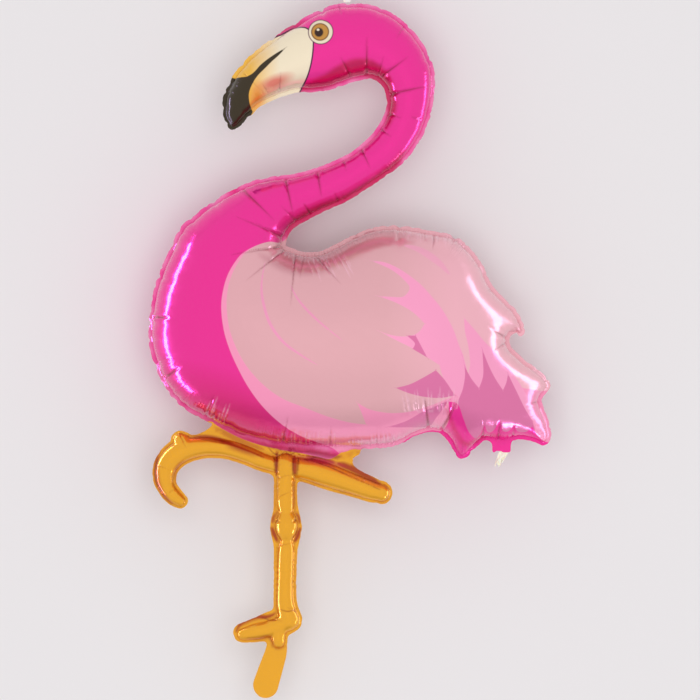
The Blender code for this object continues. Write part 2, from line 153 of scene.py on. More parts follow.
# %% Curves and distance fields
def smooth_curve(points, closed=False, steps=8):
    """A Catmull-Rom curve through the points, with all their columns carried along."""
    p = np.asarray(points, float)
    count = len(p) if closed else len(p) - 1
    t = np.linspace(0.0, 1.0, steps, endpoint=False)[:, None]
    spans = []
    for i in range(count):
        if closed:
            a, b, c, d = (p[(i + k) % len(p)] for k in (-1, 0, 1, 2))
        else:
            a, b, c, d = p[max(i - 1, 0)], p[i], p[i + 1], p[min(i + 2, len(p) - 1)]
        spans.append(0.5 * (2 * b + (c - a) * t + (2 * a - 5 * b + 4 * c - d) * t**2
                            + (3 * b - a - 3 * c + d) * t**3))
    curve = np.concatenate(spans)
    return curve if closed else np.vstack([curve, p[-1]])


def limb_field(limb, at):
    """How far each point is outside a limb; negative inside."""
    near = np.full(len(at), 1e9)
    for x, y, half_width in smooth_curve(limb):
        near = np.minimum(near, np.hypot(at[:, 0] - x, at[:, 1] - y) - half_width)
    return near


def distance_to_line(line, at, closed=True):
    """The distance from each point to a line of straight pieces."""
    ends = np.roll(line, -1, axis=0) if closed else line[1:]
    near = np.full(len(at), 1e18)
    for a, b in zip(line, ends):
        along = b - a
        px, py = at[:, 0] - a[0], at[:, 1] - a[1]
        share = np.clip((px * along[0] + py * along[1]) / max(along @ along, 1e-12), 0, 1)
        near = np.minimum(near, (px - share * along[0]) ** 2 + (py - share * along[1]) ** 2)
    return np.sqrt(near)


def inside_line(line, at):
    """Whether each point is inside a closed line, counted by how often a ray from it crosses the line."""
    inside = np.zeros(len(at), bool)
    for a, b in zip(line, np.roll(line, -1, axis=0)):
        if a[1] == b[1]:
            continue
        crosses = (a[1] > at[:, 1]) != (b[1] > at[:, 1])
        x = a[0] + (at[:, 1] - a[1]) / (b[1] - a[1]) * (b[0] - a[0])
        inside ^= crosses & (at[:, 0] < x)
    return inside


def shape_field(outline, at):
    """How far each point is outside a closed line; negative inside."""
    away = distance_to_line(outline, at)
    return np.where(inside_line(outline, at), -away, away)


def blended(fields, radius=5.0):
    """The union of several shapes, with a fillet where they meet."""
    union = fields[0]
    for other in fields[1:]:
        mix = np.clip(0.5 + 0.5 * (union - other) / radius, 0, 1)
        union = union * (1 - mix) + other * mix - radius * mix * (1 - mix)
    return union


LEFT, RIGHT, TOP, BOTTOM = 132.0, 572.0, -14.0, 714.0
GRID_STEP = 1.5
LIMB_FILLET = 3.0
LEG_TO_BELLY = 3.5  # the legs' gas ends this far outside the body
GRID_X = np.arange(LEFT, RIGHT, GRID_STEP)
GRID_Y = np.arange(TOP, BOTTOM, GRID_STEP)
GRID = np.stack(np.meshgrid(GRID_X, GRID_Y), axis=-1).reshape(-1, 2)
BODY_LINE = smooth_curve(BODY_AND_TAIL, closed=True)
bird = blended([shape_field(BODY_LINE, GRID), limb_field(NECK_AND_HEAD, GRID)])
stub_x, stub_y, stub_width, stub_length = VALVE_STUB
stub = np.maximum(np.abs(GRID[:, 0] - stub_x) - stub_width / 2,
                  np.abs(GRID[:, 1] - stub_y - stub_length / 2) - stub_length / 2)
standing = np.minimum(limb_field(STANDING_LEG, GRID), limb_field(FRONT_TOE, GRID))
to_foot = np.minimum(limb_field(SHANK_TO_FOOT, GRID), limb_field(ANKLE_KNOB, GRID))
to_knee = limb_field(SHANK_TO_KNEE, GRID)
flat_parts = [limb_field(part, GRID) for part in FLAT_PARTS]
CUT_FIELD = blended([bird, standing, to_foot, to_knee, *flat_parts, stub]).reshape(len(GRID_Y), -1)
chambers = (STANDING_CHAMBER, TOE_CHAMBER, HEEL_POCKET)
chamber = np.minimum.reduce([limb_field(limb, GRID) for limb in chambers])
legs = blended([chamber, to_foot, to_knee], LIMB_FILLET)
GAS_FIELD = np.minimum(bird + WELD_WIDTH, np.maximum(legs + LEG_WELD, LEG_TO_BELLY - bird))
GAS_FIELD = GAS_FIELD.reshape(len(GRID_Y), -1)
print("grid:", CUT_FIELD.shape)

# %% [markdown]
# ## The cut edge and the weld line
#
# The level zero of the first field is where the knife goes, and the level zero of the second is
# where the welding die presses. The space between them is the flat margin of film that every foil
# balloon has round it. The lines are followed square by square through the grid and then respaced,
# so that later the mesh gets even points along them.

# %% Follow a field's level as closed lines
def contours(field, level=0.0):
    """The closed lines on which a grid field has the level."""
    values = field - level
    values = np.where(np.abs(values) < 1e-7, 1e-7, values)
    below = values < 0
    links = {}

    def crossing(i, j, k, m):
        share = values[i, j] / (values[i, j] - values[k, m])
        return (GRID_X[j] + share * (GRID_X[m] - GRID_X[j]), GRID_Y[i] + share * (GRID_Y[k] - GRID_Y[i]))

    mixed = below[:-1, :-1].astype(int) + below[1:, :-1] + below[:-1, 1:] + below[1:, 1:]
    for i, j in zip(*np.nonzero((mixed > 0) & (mixed < 4))):
        corners = [(i, j), (i, j + 1), (i + 1, j + 1), (i + 1, j)]
        ends = []
        for a, b in zip(corners, corners[1:] + corners[:1]):
            if below[a] != below[b]:
                key = (min(a, b), max(a, b))
                ends.append((key, crossing(*key[0], *key[1]), below[a]))
        if len(ends) == 4 and not ends[0][2]:
            ends = ends[1:] + ends[:1]
        for first, second in zip(ends[::2], ends[1::2]):
            start, end = (first, second) if first[2] else (second, first)
            links[start[0]] = (end[0], start[1])
    lines = []
    while links:
        key = next(iter(links))
        line = []
        while key in links:
            key, point = links.pop(key)
            line.append(point)
        lines.append(np.array(line))
    return [line for line in lines if len(line) > 3]


def respaced(line, spacing):
    """The same closed line with its points evenly spaced."""
    closed = np.vstack([line, line[:1]])
    along = np.concatenate([[0], np.cumsum(np.hypot(*np.diff(closed, axis=0).T))])
    count = max(6, round(along[-1] / spacing))
    at = np.linspace(0, along[-1], count, endpoint=False)
    return np.stack([np.interp(at, along, closed[:, k]) for k in (0, 1)], axis=1)


cut_line = max(contours(CUT_FIELD), key=len)
weld_lines = contours(GAS_FIELD)
coarse_welds = [respaced(line, 3.0) for line in weld_lines]
depth = np.minimum.reduce([distance_to_line(line, GRID) for line in coarse_welds]).reshape(GAS_FIELD.shape)
DEPTH_FIELD = np.where(GAS_FIELD < 0, depth, -depth)
print("chambers:", len(weld_lines), "cut edge:", round(len(respaced(cut_line, 1.0)) * UNIT, 2), "m long")


def sampled(field, at):
    """A grid field read between its points."""
    step = GRID_X[1] - GRID_X[0]
    column = np.clip((at[:, 0] - GRID_X[0]) / step, 0, len(GRID_X) - 1.001)
    row = np.clip((at[:, 1] - GRID_Y[0]) / step, 0, len(GRID_Y) - 1.001)
    i, j = row.astype(int), column.astype(int)
    v, u = row - i, column - j
    return ((1 - v) * ((1 - u) * field[i, j] + u * field[i, j + 1])
            + v * ((1 - u) * field[i + 1, j] + u * field[i + 1, j + 1]))


# %% [markdown]
# ## Creases
#
# Where a filled tube is bent, its film folds across the bend, because the inner side has length
# to spare. These folds always start at the weld and run inwards, nearly square to it. Each one is
# given as its start on the weld side, its end, its half width and its depth, in units.

# %% The larger creases, one by one
CREASES = [
    (366.5, 79, 367, 36, 1.5, 1.5), (349, 75, 340, 57, 1.3, 1.2), (384, 76, 409, 57, 1.4, 1.4),
    (378, 77, 384, 56, 1.1, 0.9), (386, 96, 431, 86, 1.5, 1.8), (388, 114, 402, 119, 1.2, 1.2),
    (380, 129, 392, 138, 1.1, 1.2), (361, 149, 371, 170, 1.3, 1.3), (343, 160, 347, 173, 1.0, 1.0),
    (317, 170, 322, 199, 1.4, 1.6), (285, 176, 294, 217, 1.5, 1.7), (247, 193, 276, 222, 1.5, 1.4),
    (290, 240, 236, 217, 1.2, 1.2), (288, 243, 255, 222, 1.1, 1.1), (283, 247, 231, 256, 1.1, 1.0),
    (283, 252, 246, 282, 1.1, 1.1), (296, 253, 291, 308, 1.1, 1.2), (315, 255, 342, 286, 1.1, 1.0),
    (304, 256, 300, 280, 1.0, 0.8), (151, 317, 171, 318, 1.4, 2.8), (162, 380, 184, 365, 1.4, 2.6),
    (205, 418, 216, 394, 1.2, 1.0), (211, 421, 221, 400, 1.0, 0.8), (283, 443, 289, 415, 1.4, 1.2),
    (330, 445, 331, 424, 1.0, 0.8), (428, 428, 424, 398, 1.5, 1.5), (441, 430, 456, 400, 1.5, 1.5),
    (434, 235, 432, 251, 1.2, 1.0), (509, 340, 487, 326, 1.3, 1.2), (508, 341, 492, 352, 1.2, 1.0),
    (425, 231, 424, 243, 1.0, 0.8), (397, 229, 398, 240, 1.0, 0.7), (482, 437, 484, 424, 1.1, 1.2),
    (498, 437, 499, 420, 1.2, 1.4), (513, 436, 514, 425, 1.1, 1.0), (340, 205, 334, 192, 1.2, 1.0),
    (310, 213, 303, 203, 1.2, 1.1), (299, 224, 280, 205, 1.2, 1.0), (404, 27, 396, 40, 1.0, 0.8),
    (420, 120, 410, 117, 1.2, 1.0), (245, 75, 262, 92, 0.9, 0.6), (280, 89, 281, 72, 1.0, 0.8),
    (268, 93, 262, 84, 1.0, 0.7), (541, 401, 527, 404, 1.2, 1.0), (500, 292, 486, 290, 1.1, 0.8),
    (270, 517, 281, 522.5, 1.3, 1.8), (270, 537, 281, 537.5, 1.3, 1.8), (302, 517, 291, 522.5, 1.3, 1.8),
    (303, 536, 291, 537.5, 1.3, 1.8), (280, 545, 292, 543, 0.8, 0.6), (280, 496, 292, 491, 0.8, 0.6),
    (299, 452, 297, 480, 1.2, 1.7), (274, 452, 276, 476, 1.2, 1.5), (300, 480, 318, 485, 0.9, 0.7),
    (276, 478, 294, 474, 0.8, 0.6), (262, 617, 284, 621, 0.9, 0.8), (296, 611, 286, 606, 0.8, 0.7),
    (181, 436, 187, 449, 0.9, 0.7), (160, 466, 171, 470, 0.8, 0.6), (170, 492, 177, 488, 0.8, 0.6),
]

# rows of fine creases: the row's two ends, the way that the first and the last one point, then
# how many, how long and how deep
FANS = [
    ((405, 409), (457, 406), (-0.22, -1.0), (0.12, -1.0), 19, 22, 0.8),
    ((278, 448), (340, 450), (0.02, -1.0), (0.06, -1.0), 19, 20, 0.7),
    ((309, 262), (347, 258), (0.35, 1.0), (0.6, 1.0), 11, 22, 0.6),
    ((204, 417), (224, 425), (0.45, -1.0), (0.35, -1.0), 6, 24, 0.8),
    ((346, 450), (404, 442), (0.02, -1.0), (0.10, -1.0), 19, 13, 0.7),
    ((404, 228), (454, 237), (-0.02, 1.0), (-0.10, 1.0), 15, 13, 0.5),
    ((256, 97), (284, 87), (-0.55, -1.0), (0.0, -1.0), 6, 12, 0.40),
]
FINE_FROM = len(CREASES)
FINE_HALF_WIDTH = 0.65
for (ax, ay), (bx, by), first_way, last_way, count, length, fine_depth in FANS:
    for k in range(count):
        share = (k + 0.35 * math.sin(2.4 * k)) / (count - 1)
        way = np.array(first_way) * (1 - share) + np.array(last_way) * share
        start = np.array([ax + share * (bx - ax), ay + share * (by - ay)])
        end = start + way * length * (0.72 + 0.28 * math.sin(1.7 * k))
        CREASES.append((*start, *end, FINE_HALF_WIDTH, fine_depth * (0.75 + 0.25 * math.sin(3.1 * k))))


def crease_rows():
    """Rows of mesh points along each crease, so that its fold can be sharp."""
    rows = []
    for x0, y0, x1, y1, half_width, _ in CREASES:
        start, end = np.array([x0, y0]), np.array([x1, y1])
        length = np.hypot(*(end - start))
        across = np.array([-(end - start)[1], (end - start)[0]]) / length
        at = np.linspace(0, 1, max(3, round(length / 2.2)))[:, None]
        fine = half_width == FINE_HALF_WIDTH
        for offset in (0.0, 0.95, -0.95, 2.0, -2.0) if fine else (0.0, 0.75, -0.75, 1.7, -1.7):
            rows.append(start + at * (end - start) + offset * half_width * across)
    return np.concatenate(rows)


print("creases:", len(CREASES))

# %% [markdown]
# ## The print
#
# The film is printed before it is welded, with flat inks that end in clean edges. An image would
# do it, but a distance field does it better: each printed shape is a closed line, every point of
# the mesh stores how far it is from that line, and the shader cuts the number at zero. The
# edge stays sharp however close the camera comes, and the feathers stay editable as points.

# %% The printed shapes
WING = [
    (289, 236), (289, 236), (280, 243), (270, 242.5), (258, 246), (248, 251), (240, 257.5),
    (230, 273), (224.5, 290), (222.5, 308), (225, 330), (231, 350), (240, 370), (250, 388),
    (262.5, 405), (277.5, 420), (295, 432.5), (314, 441), (328, 446), (337, 451.5), (341, 458), (352, 480),
    (600, 490), (600, 208), (400, 208), (372, 212), (350, 222), (330, 236), (305, 241),
]
WING_MAIN = [
    (283, 236), (262, 244), (250, 251), (243, 257.5), (234, 273), (229, 290), (228, 308),
    (231, 330), (239, 351), (250, 369), (266, 386), (284, 398.5), (305, 407), (328, 416),
    (350, 422), (366, 424), (366, 424), (361, 411), (357, 402), (357, 402), (370, 409), (390, 412.5),
    (410, 411), (430, 405), (450, 397), (450, 397), (470, 380), (600, 380), (600, 200), (400, 200),
    (352, 218), (330, 231), (300, 236),
]
LONG_FEATHERS = [
    (371, 261.5), (371, 261.5), (384, 263), (397, 268.5), (410, 277), (421, 286), (431, 297), (440, 308),
    (447, 319), (453, 331), (458, 345), (463, 358), (467, 380), (462, 400), (462, 400), (452, 391),
    (443, 379), (438.5, 365), (438.5, 365), (427, 357.5), (411, 348), (394, 339.5), (378, 331),
    (378, 331), (392, 335.5), (406, 336.5), (417, 333), (424, 324), (424, 324), (412, 312.5),
    (395, 303), (377, 296.5), (377, 296.5), (392, 297.5), (403, 297), (409, 289), (404, 281), (391, 270.5),
]
TAIL_FEATHERS = [
    (463, 318), (463, 318), (473, 329), (483, 341), (495, 353), (508, 368), (520, 385), (530, 404),
    (534, 422), (534, 422), (520, 412), (500, 400), (480, 395), (468, 380), (469, 362), (467, 345),
    (464, 332),
]
SHADE_FEATHERS = [
    [(461, 355), (461, 355), (464, 372), (462, 388), (457, 403), (460, 416), (466, 430), (478, 444),
     (505, 452), (534, 442), (532, 421), (532, 421), (524, 408), (516, 392), (507, 373.5), (507, 373.5),
     (505.5, 382), (502, 390), (502, 390), (494, 378), (487, 364), (481, 348.5), (481, 348.5),
     (482, 362), (482, 376), (478, 388), (478, 388), (470, 378), (464, 366)],
    [(395, 387.5), (395, 387.5), (409, 384), (423, 377), (435, 370), (435, 370), (444, 380), (454, 395),
     (454, 395), (440, 397.5), (424, 396.5), (409, 393)],
    [(406, 335.5), (406, 335.5), (415, 336), (415, 336), (426.5, 357.5), (426.5, 357.5), (412, 349),
     (412, 349), (414, 343)],
    [(387, 426.5), (387, 426.5), (405, 421), (423, 411), (448, 400), (448, 400), (436, 417), (428, 426),
     (408, 427)],
]
TAIL_HEM = [
    (398, 449), (398, 449), (404, 441.5), (417, 434.5), (431, 430.5), (441, 431), (448, 420), (447.5, 401),
    (447.5, 401), (457, 404), (463, 419), (468, 431), (475, 438), (480, 433), (484, 424), (484, 424),
    (487, 431.5), (493, 430), (499, 419), (499, 419), (502, 430), (508, 431), (514, 424.5), (514, 424.5),
    (517, 431), (526, 431.5), (532, 426), (532, 426), (536, 434), (543, 441), (558, 448), (558, 480),
    (398, 480),
]
BEAK = [
    (248, 46), (262, 40.5), (272, 37), (278, 35.9), (285, 32.8), (293, 28.8), (300, 27.4), (308, 30),
    (313, 37), (313.5, 46), (312.5, 58), (310, 70), (306, 81), (299.5, 93), (295, 105), (200, 150), (190, 20),
]
BEAK_TIP = [
    (235, 78.5), (235, 78.5), (241, 77.8), (248, 76.8), (255, 72), (261, 65.5), (268.5, 59.5), (278, 53.2),
    (286.5, 48.3), (286.5, 48.3), (279, 56.3), (272, 62.5), (265.5, 69), (257.5, 77), (252, 86),
    (249.2, 94.5), (249.9, 104), (252.8, 112), (252.8, 112), (245, 128), (228, 146), (205, 130), (205, 90),
    (222, 77),
]
LEGS_AREA = [
    (140, 425), (185, 426), (200, 425), (208, 421.5), (213, 423.5), (226, 431), (240, 438), (255, 443.5),
    (268, 447), (282, 450), (300, 453), (316, 456.5), (328, 459), (335, 457), (341, 453), (352, 450.5),
    (364, 450.3), (385, 452), (410, 470), (410, 720), (140, 720),
]
# brush lines, each with its half width: two thin printed ones on the wing, one printed on the tail,
# painted shade along the lower sides, and a painted reflection: a duskier band along the wing's upper edge
WING_STROKES = [
    ([(266, 262), (262.5, 284), (264, 302), (271, 324), (284, 342), (300, 354), (318, 365)], 1.5),
    ([(291, 286), (298, 299), (309, 312), (323, 325), (343, 341)], 1.2),
]
TAIL_STROKES = [([(404, 246), (418, 250), (430, 257), (440, 265), (449, 275)], 3.4)]
SHADE_STROKES = [
    ([(190, 413), (208, 420.5), (226, 429.5), (246, 439), (266, 445.5), (286, 449), (306, 450.5), (322, 453),
      (337, 455), (352, 452), (366, 448)], 4.2),
    ([(445, 402), (449, 416), (456, 433), (465, 444), (475, 441), (486, 436), (500, 436)], 2.6),
    ([(268, 42), (274, 37.5), (280, 33), (287, 28.5), (296, 24), (304, 21)], 3.2),
    ([(286, 240), (291, 229), (303, 219.5), (322, 210.5), (345, 203), (366, 191), (384, 176.5), (396, 163),
      (404, 150)], 8.0),
    ([(290, 92), (310, 87), (328, 81), (342, 73.5), (356, 68.5), (370, 70), (382, 80), (389, 95), (391, 112),
      (386, 130)], 9.5),
]
DUSK_REFLECTION_STROKES = [
    ([(272, 254), (286, 260), (302, 264), (318, 265), (334, 262), (350, 254), (370, 246), (392, 242),
      (414, 243)], 5.0),
    ([(260, 255), (274, 263), (290, 269), (308, 271), (325, 269), (341, 261)], 5.0),
]
# where the gold gets painted shade: a line, its half width and its strength
GOLD_SHADE_STROKES = [
    ([(188, 435.5), (198, 436.5), (210, 437.5), (222, 440.5), (236, 446.5), (250, 452),
      (264, 457)], 2.2, 1.0),
    ([(214, 428), (230, 435.5), (246, 443.5), (264, 449.5)], 3.0, 0.55),
    ([(318, 457), (334, 457.5), (348, 455), (362, 452)], 1.6, 0.45),
    ([(161, 446), (157.5, 455), (156, 465), (156.5, 478), (160, 489), (166, 498), (173, 504)], 2.4, 0.9),
    ([(184, 460.5), (178, 466.5), (175, 476), (177, 485)], 1.6, 0.6),
    ([(277, 451), (276.6, 463), (276.4, 476)], 1.6, 1.0), ([(275, 476), (274.8, 512)], 1.2, 0.5),
    ([(294.5, 456), (295, 475)], 2.5, 1.0), ([(294.6, 476), (294.6, 512)], 1.8, 0.55),
    ([(306, 456), (320, 459), (335, 462.5)], 2.6, 1.0),
    ([(337, 463), (350, 467.5), (364, 474.5), (381, 484)], 3.6, 1.0),
    ([(277, 511), (273.4, 518), (272.4, 523)], 1.5, 0.9),
    ([(271.5, 527), (273.8, 534), (278, 542)], 2.2, 1.0),
    ([(296, 512), (298.8, 518), (299.8, 523)], 1.5, 0.9),
    ([(300.4, 528), (298.2, 535), (294.4, 542)], 2.2, 1.0),
    ([(277, 545), (277, 612)], 1.2, 0.65), ([(294.6, 546), (294.8, 608)], 1.5, 0.4),
    ([(236, 632), (240, 624.5), (248, 619.5), (258, 616.5), (268, 616.5), (276, 613)], 2.3, 1.0),
    ([(247, 638.5), (258, 638.5), (268, 636.5), (271.5, 640), (273.5, 647)], 1.5, 0.7),
    ([(271, 646), (278, 648), (286, 646)], 0.9, 0.6),
]
# painted shade: thin dark lines at the bottoms of folds, and two softer bands where the belly meets the legs,
# given in the same way
FOLD_STROKES = [
    ([(308, 459), (330, 467), (350, 476), (380, 489.5)], 0.6, 1.0),
    ([(280, 609), (288, 611), (296, 609)], 0.4, 0.9),
    ([(268, 447), (273, 452.5), (279, 455), (284, 452)], 0.5, 0.9),
    ([(285, 451), (290, 454.5), (296, 452), (301, 456)], 0.5, 0.9),
    ([(301, 457), (308, 460), (316, 457), (326, 459)], 0.5, 0.9), ([(277.2, 455), (276.8, 474)], 0.5, 0.9),
    ([(293, 457), (293, 473)], 0.4, 0.8), ([(298, 479), (306, 483), (315, 486)], 0.4, 0.8),
    ([(262, 617), (272, 620.5), (279, 617)], 0.4, 0.9), ([(190, 438), (206, 440), (224, 443.5)], 0.4, 0.8),
    ([(429, 428), (426.5, 413), (424.5, 400)], 0.5, 1.0), ([(441.5, 429), (449, 417), (456, 403)], 0.5, 1.0),
    ([(291, 238), (268, 229), (238, 218)], 0.3, 0.7), ([(282, 247), (258, 250), (233, 255.5)], 0.3, 0.7),
    ([(304, 451.5), (318, 453.5), (330, 456), (340, 457)], 2.6, 0.55),
    ([(258, 444), (284, 450), (308, 452)], 1.6, 0.4),
]

PRINTED_AREAS = {
    "wing": [WING], "wing_main": [WING_MAIN], "long_feathers": [LONG_FEATHERS],
    "tail_feathers": [TAIL_FEATHERS], "shade_feathers": SHADE_FEATHERS, "tail_hem": [TAIL_HEM],
    "beak": [BEAK], "beak_tip": [BEAK_TIP], "legs_area": [LEGS_AREA],
}
PRINT_AND_SHADE_STROKES = {
    "wing_strokes": WING_STROKES, "tail_strokes": TAIL_STROKES, "painted_shade_bands": SHADE_STROKES,
    "dusk_reflection": DUSK_REFLECTION_STROKES,
}


def print_rows():
    """Rows of mesh points on both sides of every printed edge and painted fold line, so that it stays sharp.
    """
    rows = []
    for outline in (line for lines in PRINTED_AREAS.values() for line in lines):
        line = smooth_curve(outline, closed=True, steps=12)
        keep = (line[:, 0] > 140) & (line[:, 0] < 560) & (line[:, 1] > -5) & (line[:, 1] < 705)
        line = line[keep]
        way = np.roll(line, -1, axis=0) - np.roll(line, 1, axis=0)
        size = np.maximum(np.hypot(*way.T), 1e-6)
        across = np.column_stack([-way[:, 1], way[:, 0]]) / size[:, None]
        rows.extend(line + offset * across for offset in (0.0, 1.1, -1.1))
    folds = [(line, FINE_HALF_WIDTH) for line, _, _ in FOLD_STROKES]
    for points, half_width in WING_STROKES + TAIL_STROKES + folds:
        line = smooth_curve(points, steps=14)
        way = np.gradient(line, axis=0)
        across = np.column_stack([-way[:, 1], way[:, 0]]) / np.hypot(*way.T)[:, None]
        rows.extend(line + offset * half_width * across for offset in (0.0, 1.0, -1.0, 2.0, -2.0))
    return np.concatenate(rows)


print("printed areas:", len(PRINTED_AREAS), "strokes:", sum(map(len, PRINT_AND_SHADE_STROKES.values())))

# %% [markdown]
# ## The mesh of one sheet, seen flat
#
# A folded, puckered surface needs its points where the folds are. Rings of points follow the weld
# at growing distances, rows follow the creases, and a plain honeycomb fills the calm middle. A
# constrained Delaunay triangulation joins them, and the weld line itself is kept as edges.

# %% Points and triangles
# rings of points inside the weld and out in the webs: their distance from it, and their spacing
RINGS = [(0.5, 1.6), (1.3, 1.6), (2.5, 1.7), (4.2, 1.9), (6.3, 2.1), (8.8, 2.3), (11.6, 2.6)]
WEB_RINGS = [(1.6, 1.8), (3.1, 1.9), (4.6, 2.1)]
EDGE_SPACING, WELD_SPACING, MARGIN_SPACING, MIDDLE_SPACING = 1.3, 1.6, 2.1, 2.9
ROW_SHARE = 0.866  # the height of a triangle with equal sides
SHEET_LEFT, SHEET_RIGHT = 140, 565
CALM_FROM = 13.4  # the honeycomb starts this far inside the weld
CLOSEST = 0.55  # no two points are nearer than this


def legs_mask(at):
    """Whether each point is on a leg and clear of the body."""
    on_leg = np.minimum.reduce([limb_field(limb, at) for limb in GAS_LEGS]) < 0
    return on_leg & (shape_field(BODY_LINE, at) > -WELD_WIDTH)


def thin_out(points, taken, closest):
    """The points that keep their distance from the ones already taken."""
    cells = {}
    for p in taken:
        cells.setdefault((int(p[0] // closest), int(p[1] // closest)), []).append(p)
    kept = []
    for p in points:
        column, row = int(p[0] // closest), int(p[1] // closest)
        near = (q for i in (-1, 0, 1) for j in (-1, 0, 1) for q in cells.get((column + i, row + j), ()))
        if all((p[0] - q[0]) ** 2 + (p[1] - q[1]) ** 2 > closest * closest for q in near):
            cells.setdefault((column, row), []).append(p)
            kept.append(p)
    return np.array(kept)


def sheet_mesh():
    """The points of the flat sheet and its triangles."""
    edge = respaced(cut_line, EDGE_SPACING)
    welds = [respaced(line, WELD_SPACING) for line in weld_lines]
    points, constraints = [edge], []
    count = len(edge)
    for loop in welds:
        constraints.extend((count + k, count + (k + 1) % len(loop)) for k in range(len(loop)))
        points.append(loop)
        count += len(loop)
    fixed = np.concatenate(points)
    flat = np.concatenate([respaced(line, MARGIN_SPACING) for line in contours(CUT_FIELD, -WELD_WIDTH / 2)])
    printed = print_rows()
    printed = printed[sampled(CUT_FIELD, printed) < -1.0]
    loose = [flat[sampled(DEPTH_FIELD, flat) < -1.2], crease_rows(), printed]
    for inset, spacing in RINGS:
        loose.extend(respaced(line, spacing) for line in contours(-DEPTH_FIELD, -inset))
    for outset, spacing in WEB_RINGS:
        web = np.concatenate([respaced(line, spacing) for line in contours(-DEPTH_FIELD, outset)])
        loose.append(web[sampled(CUT_FIELD, web) < -WELD_WIDTH / 2 - 0.8])
    for k in range(int((BOTTOM - TOP) / (MIDDLE_SPACING * ROW_SHARE))):
        y = TOP + k * MIDDLE_SPACING * ROW_SHARE
        x = np.arange(SHEET_LEFT + (k % 2) * MIDDLE_SPACING / 2, SHEET_RIGHT, MIDDLE_SPACING)
        row = np.column_stack([x, np.full(len(x), y)])
        away = sampled(DEPTH_FIELD, row)
        loose.append(row[(away > CALM_FROM) | ((away < -6.0) & (sampled(CUT_FIELD, row) < -4.0))])
    extra = np.concatenate([group for group in loose if len(group)])
    extra = thin_out(extra, fixed, CLOSEST)
    everything = np.vstack([fixed, extra])
    made = delaunay_2d_cdt([tuple(map(float, p)) for p in everything], constraints,
                           [list(range(len(edge)))], 1, 1e-5)
    return np.array([(v.x, v.y) for v in made[0]]), np.array([list(f) for f in made[2]])


PLAN, TRIANGLES = sheet_mesh()
depth_at = sampled(DEPTH_FIELD, PLAN)
IN_GAS = depth_at > 0.25
ON_LEG = legs_mask(PLAN)
print("one sheet:", len(PLAN), "points,", len(TRIANGLES), "triangles")

# %% [markdown]
# ## Filling it with gas
#
# Gas presses on every part of the film alike. For a slack sheet held at its rim that makes
# the height follow Poisson's equation, and its square root is the profile of a real filled
# chamber: a circle across a tube, a deep cushion across the body, and zero at the weld. A cloth
# simulation with pressure gives the same kind of shape, but it also moves the outline, and the
# outline is what makes the bird. So the equation is solved on the mesh itself, with the same
# weights that a finite element program uses. The slim legs are simpler: half of a round tube.

# %% Solve for the height of the film
def cotangent_weights():
    """The edges of the flat mesh with their stiffness, and the area that belongs to each point."""
    first, second, weight = [], [], []
    area = np.zeros(len(PLAN))
    for k in range(3):
        a, b, c = TRIANGLES[:, k], TRIANGLES[:, (k + 1) % 3], TRIANGLES[:, (k + 2) % 3]
        u, w = PLAN[b] - PLAN[a], PLAN[c] - PLAN[a]
        twice = np.abs(u[:, 0] * w[:, 1] - u[:, 1] * w[:, 0])
        cot = (u * w).sum(axis=1) / np.maximum(twice, 1e-9)
        first.append(b)
        second.append(c)
        weight.append(np.clip(0.5 * cot, -5, 5))
        np.add.at(area, a, twice / 6)
    return np.concatenate(first), np.concatenate(second), np.concatenate(weight), area


def filled_height(iterations=1500):
    """Conjugate gradients on the film's points inside the chambers."""
    b, c, weight, area = cotangent_weights()
    size = len(PLAN)
    diagonal = np.bincount(b, weight, size) + np.bincount(c, weight, size)
    diagonal = np.where(diagonal > 1e-9, diagonal, 1.0)

    def apply(u):
        flow = weight * (u[b] - u[c])
        return np.where(IN_GAS, np.bincount(b, flow, size) - np.bincount(c, flow, size), 0.0)

    load = np.where(IN_GAS, 2.0 * area, 0.0)
    u = np.zeros(size)
    residual = load.copy()
    scaled = residual / diagonal
    direction = scaled.copy()
    power = residual @ scaled
    for step in range(iterations):
        image = apply(direction)
        stride = power / (direction @ image)
        u += stride * direction
        residual -= stride * image
        if np.abs(residual).max() < 1e-5:
            break
        scaled = residual / diagonal
        fresh = residual @ scaled
        direction = scaled + fresh / power * direction
        power = fresh
    print("solved in", step + 1, "steps")
    height = np.sqrt(np.maximum(u, 0.0))
    return height * (1 - BELLY_FLATTENING * height / height.max())


def tube_height(limb):
    """Half of a round tube, swept along the limb's stations."""
    best = np.zeros(len(PLAN))
    for x, y, half_width in smooth_curve(limb):
        radius = max(half_width - LEG_WELD, 0.0)
        best = np.maximum(best, radius**2 - (PLAN[:, 0] - x) ** 2 - (PLAN[:, 1] - y) ** 2)
    return np.sqrt(best)


SOFT_UNION = 6  # a high power keeps the higher of two tubes, with a soft change where they cross
leg_height = sum(tube_height(limb) ** SOFT_UNION for limb in GAS_LEGS) ** (1 / SOFT_UNION)
HEIGHT_FIELD = np.where(ON_LEG, leg_height, filled_height())
print("film stands off by up to", round(HEIGHT_FIELD.max() * UNIT * 1000, 1), "mm")

# %% [markdown]
# ## Where each point lies along the weld
#
# Puckers run square to the weld. To draw them, each point of the film needs two numbers: how far
# it is from the weld, which the field already gives, and how far along the weld its nearest place
# is. The curvature of the weld matters too: where the outline bulges outwards the film has most to
# gather, and where it runs straight there is almost nothing to gather.

# %% Position along the weld, and how tightly it curves
BEND_STEPS = 5  # the bend is measured over this many steps to either side
BODY_LOOP = 1300  # a weld longer than this goes round the body, and slim limbs gather less film


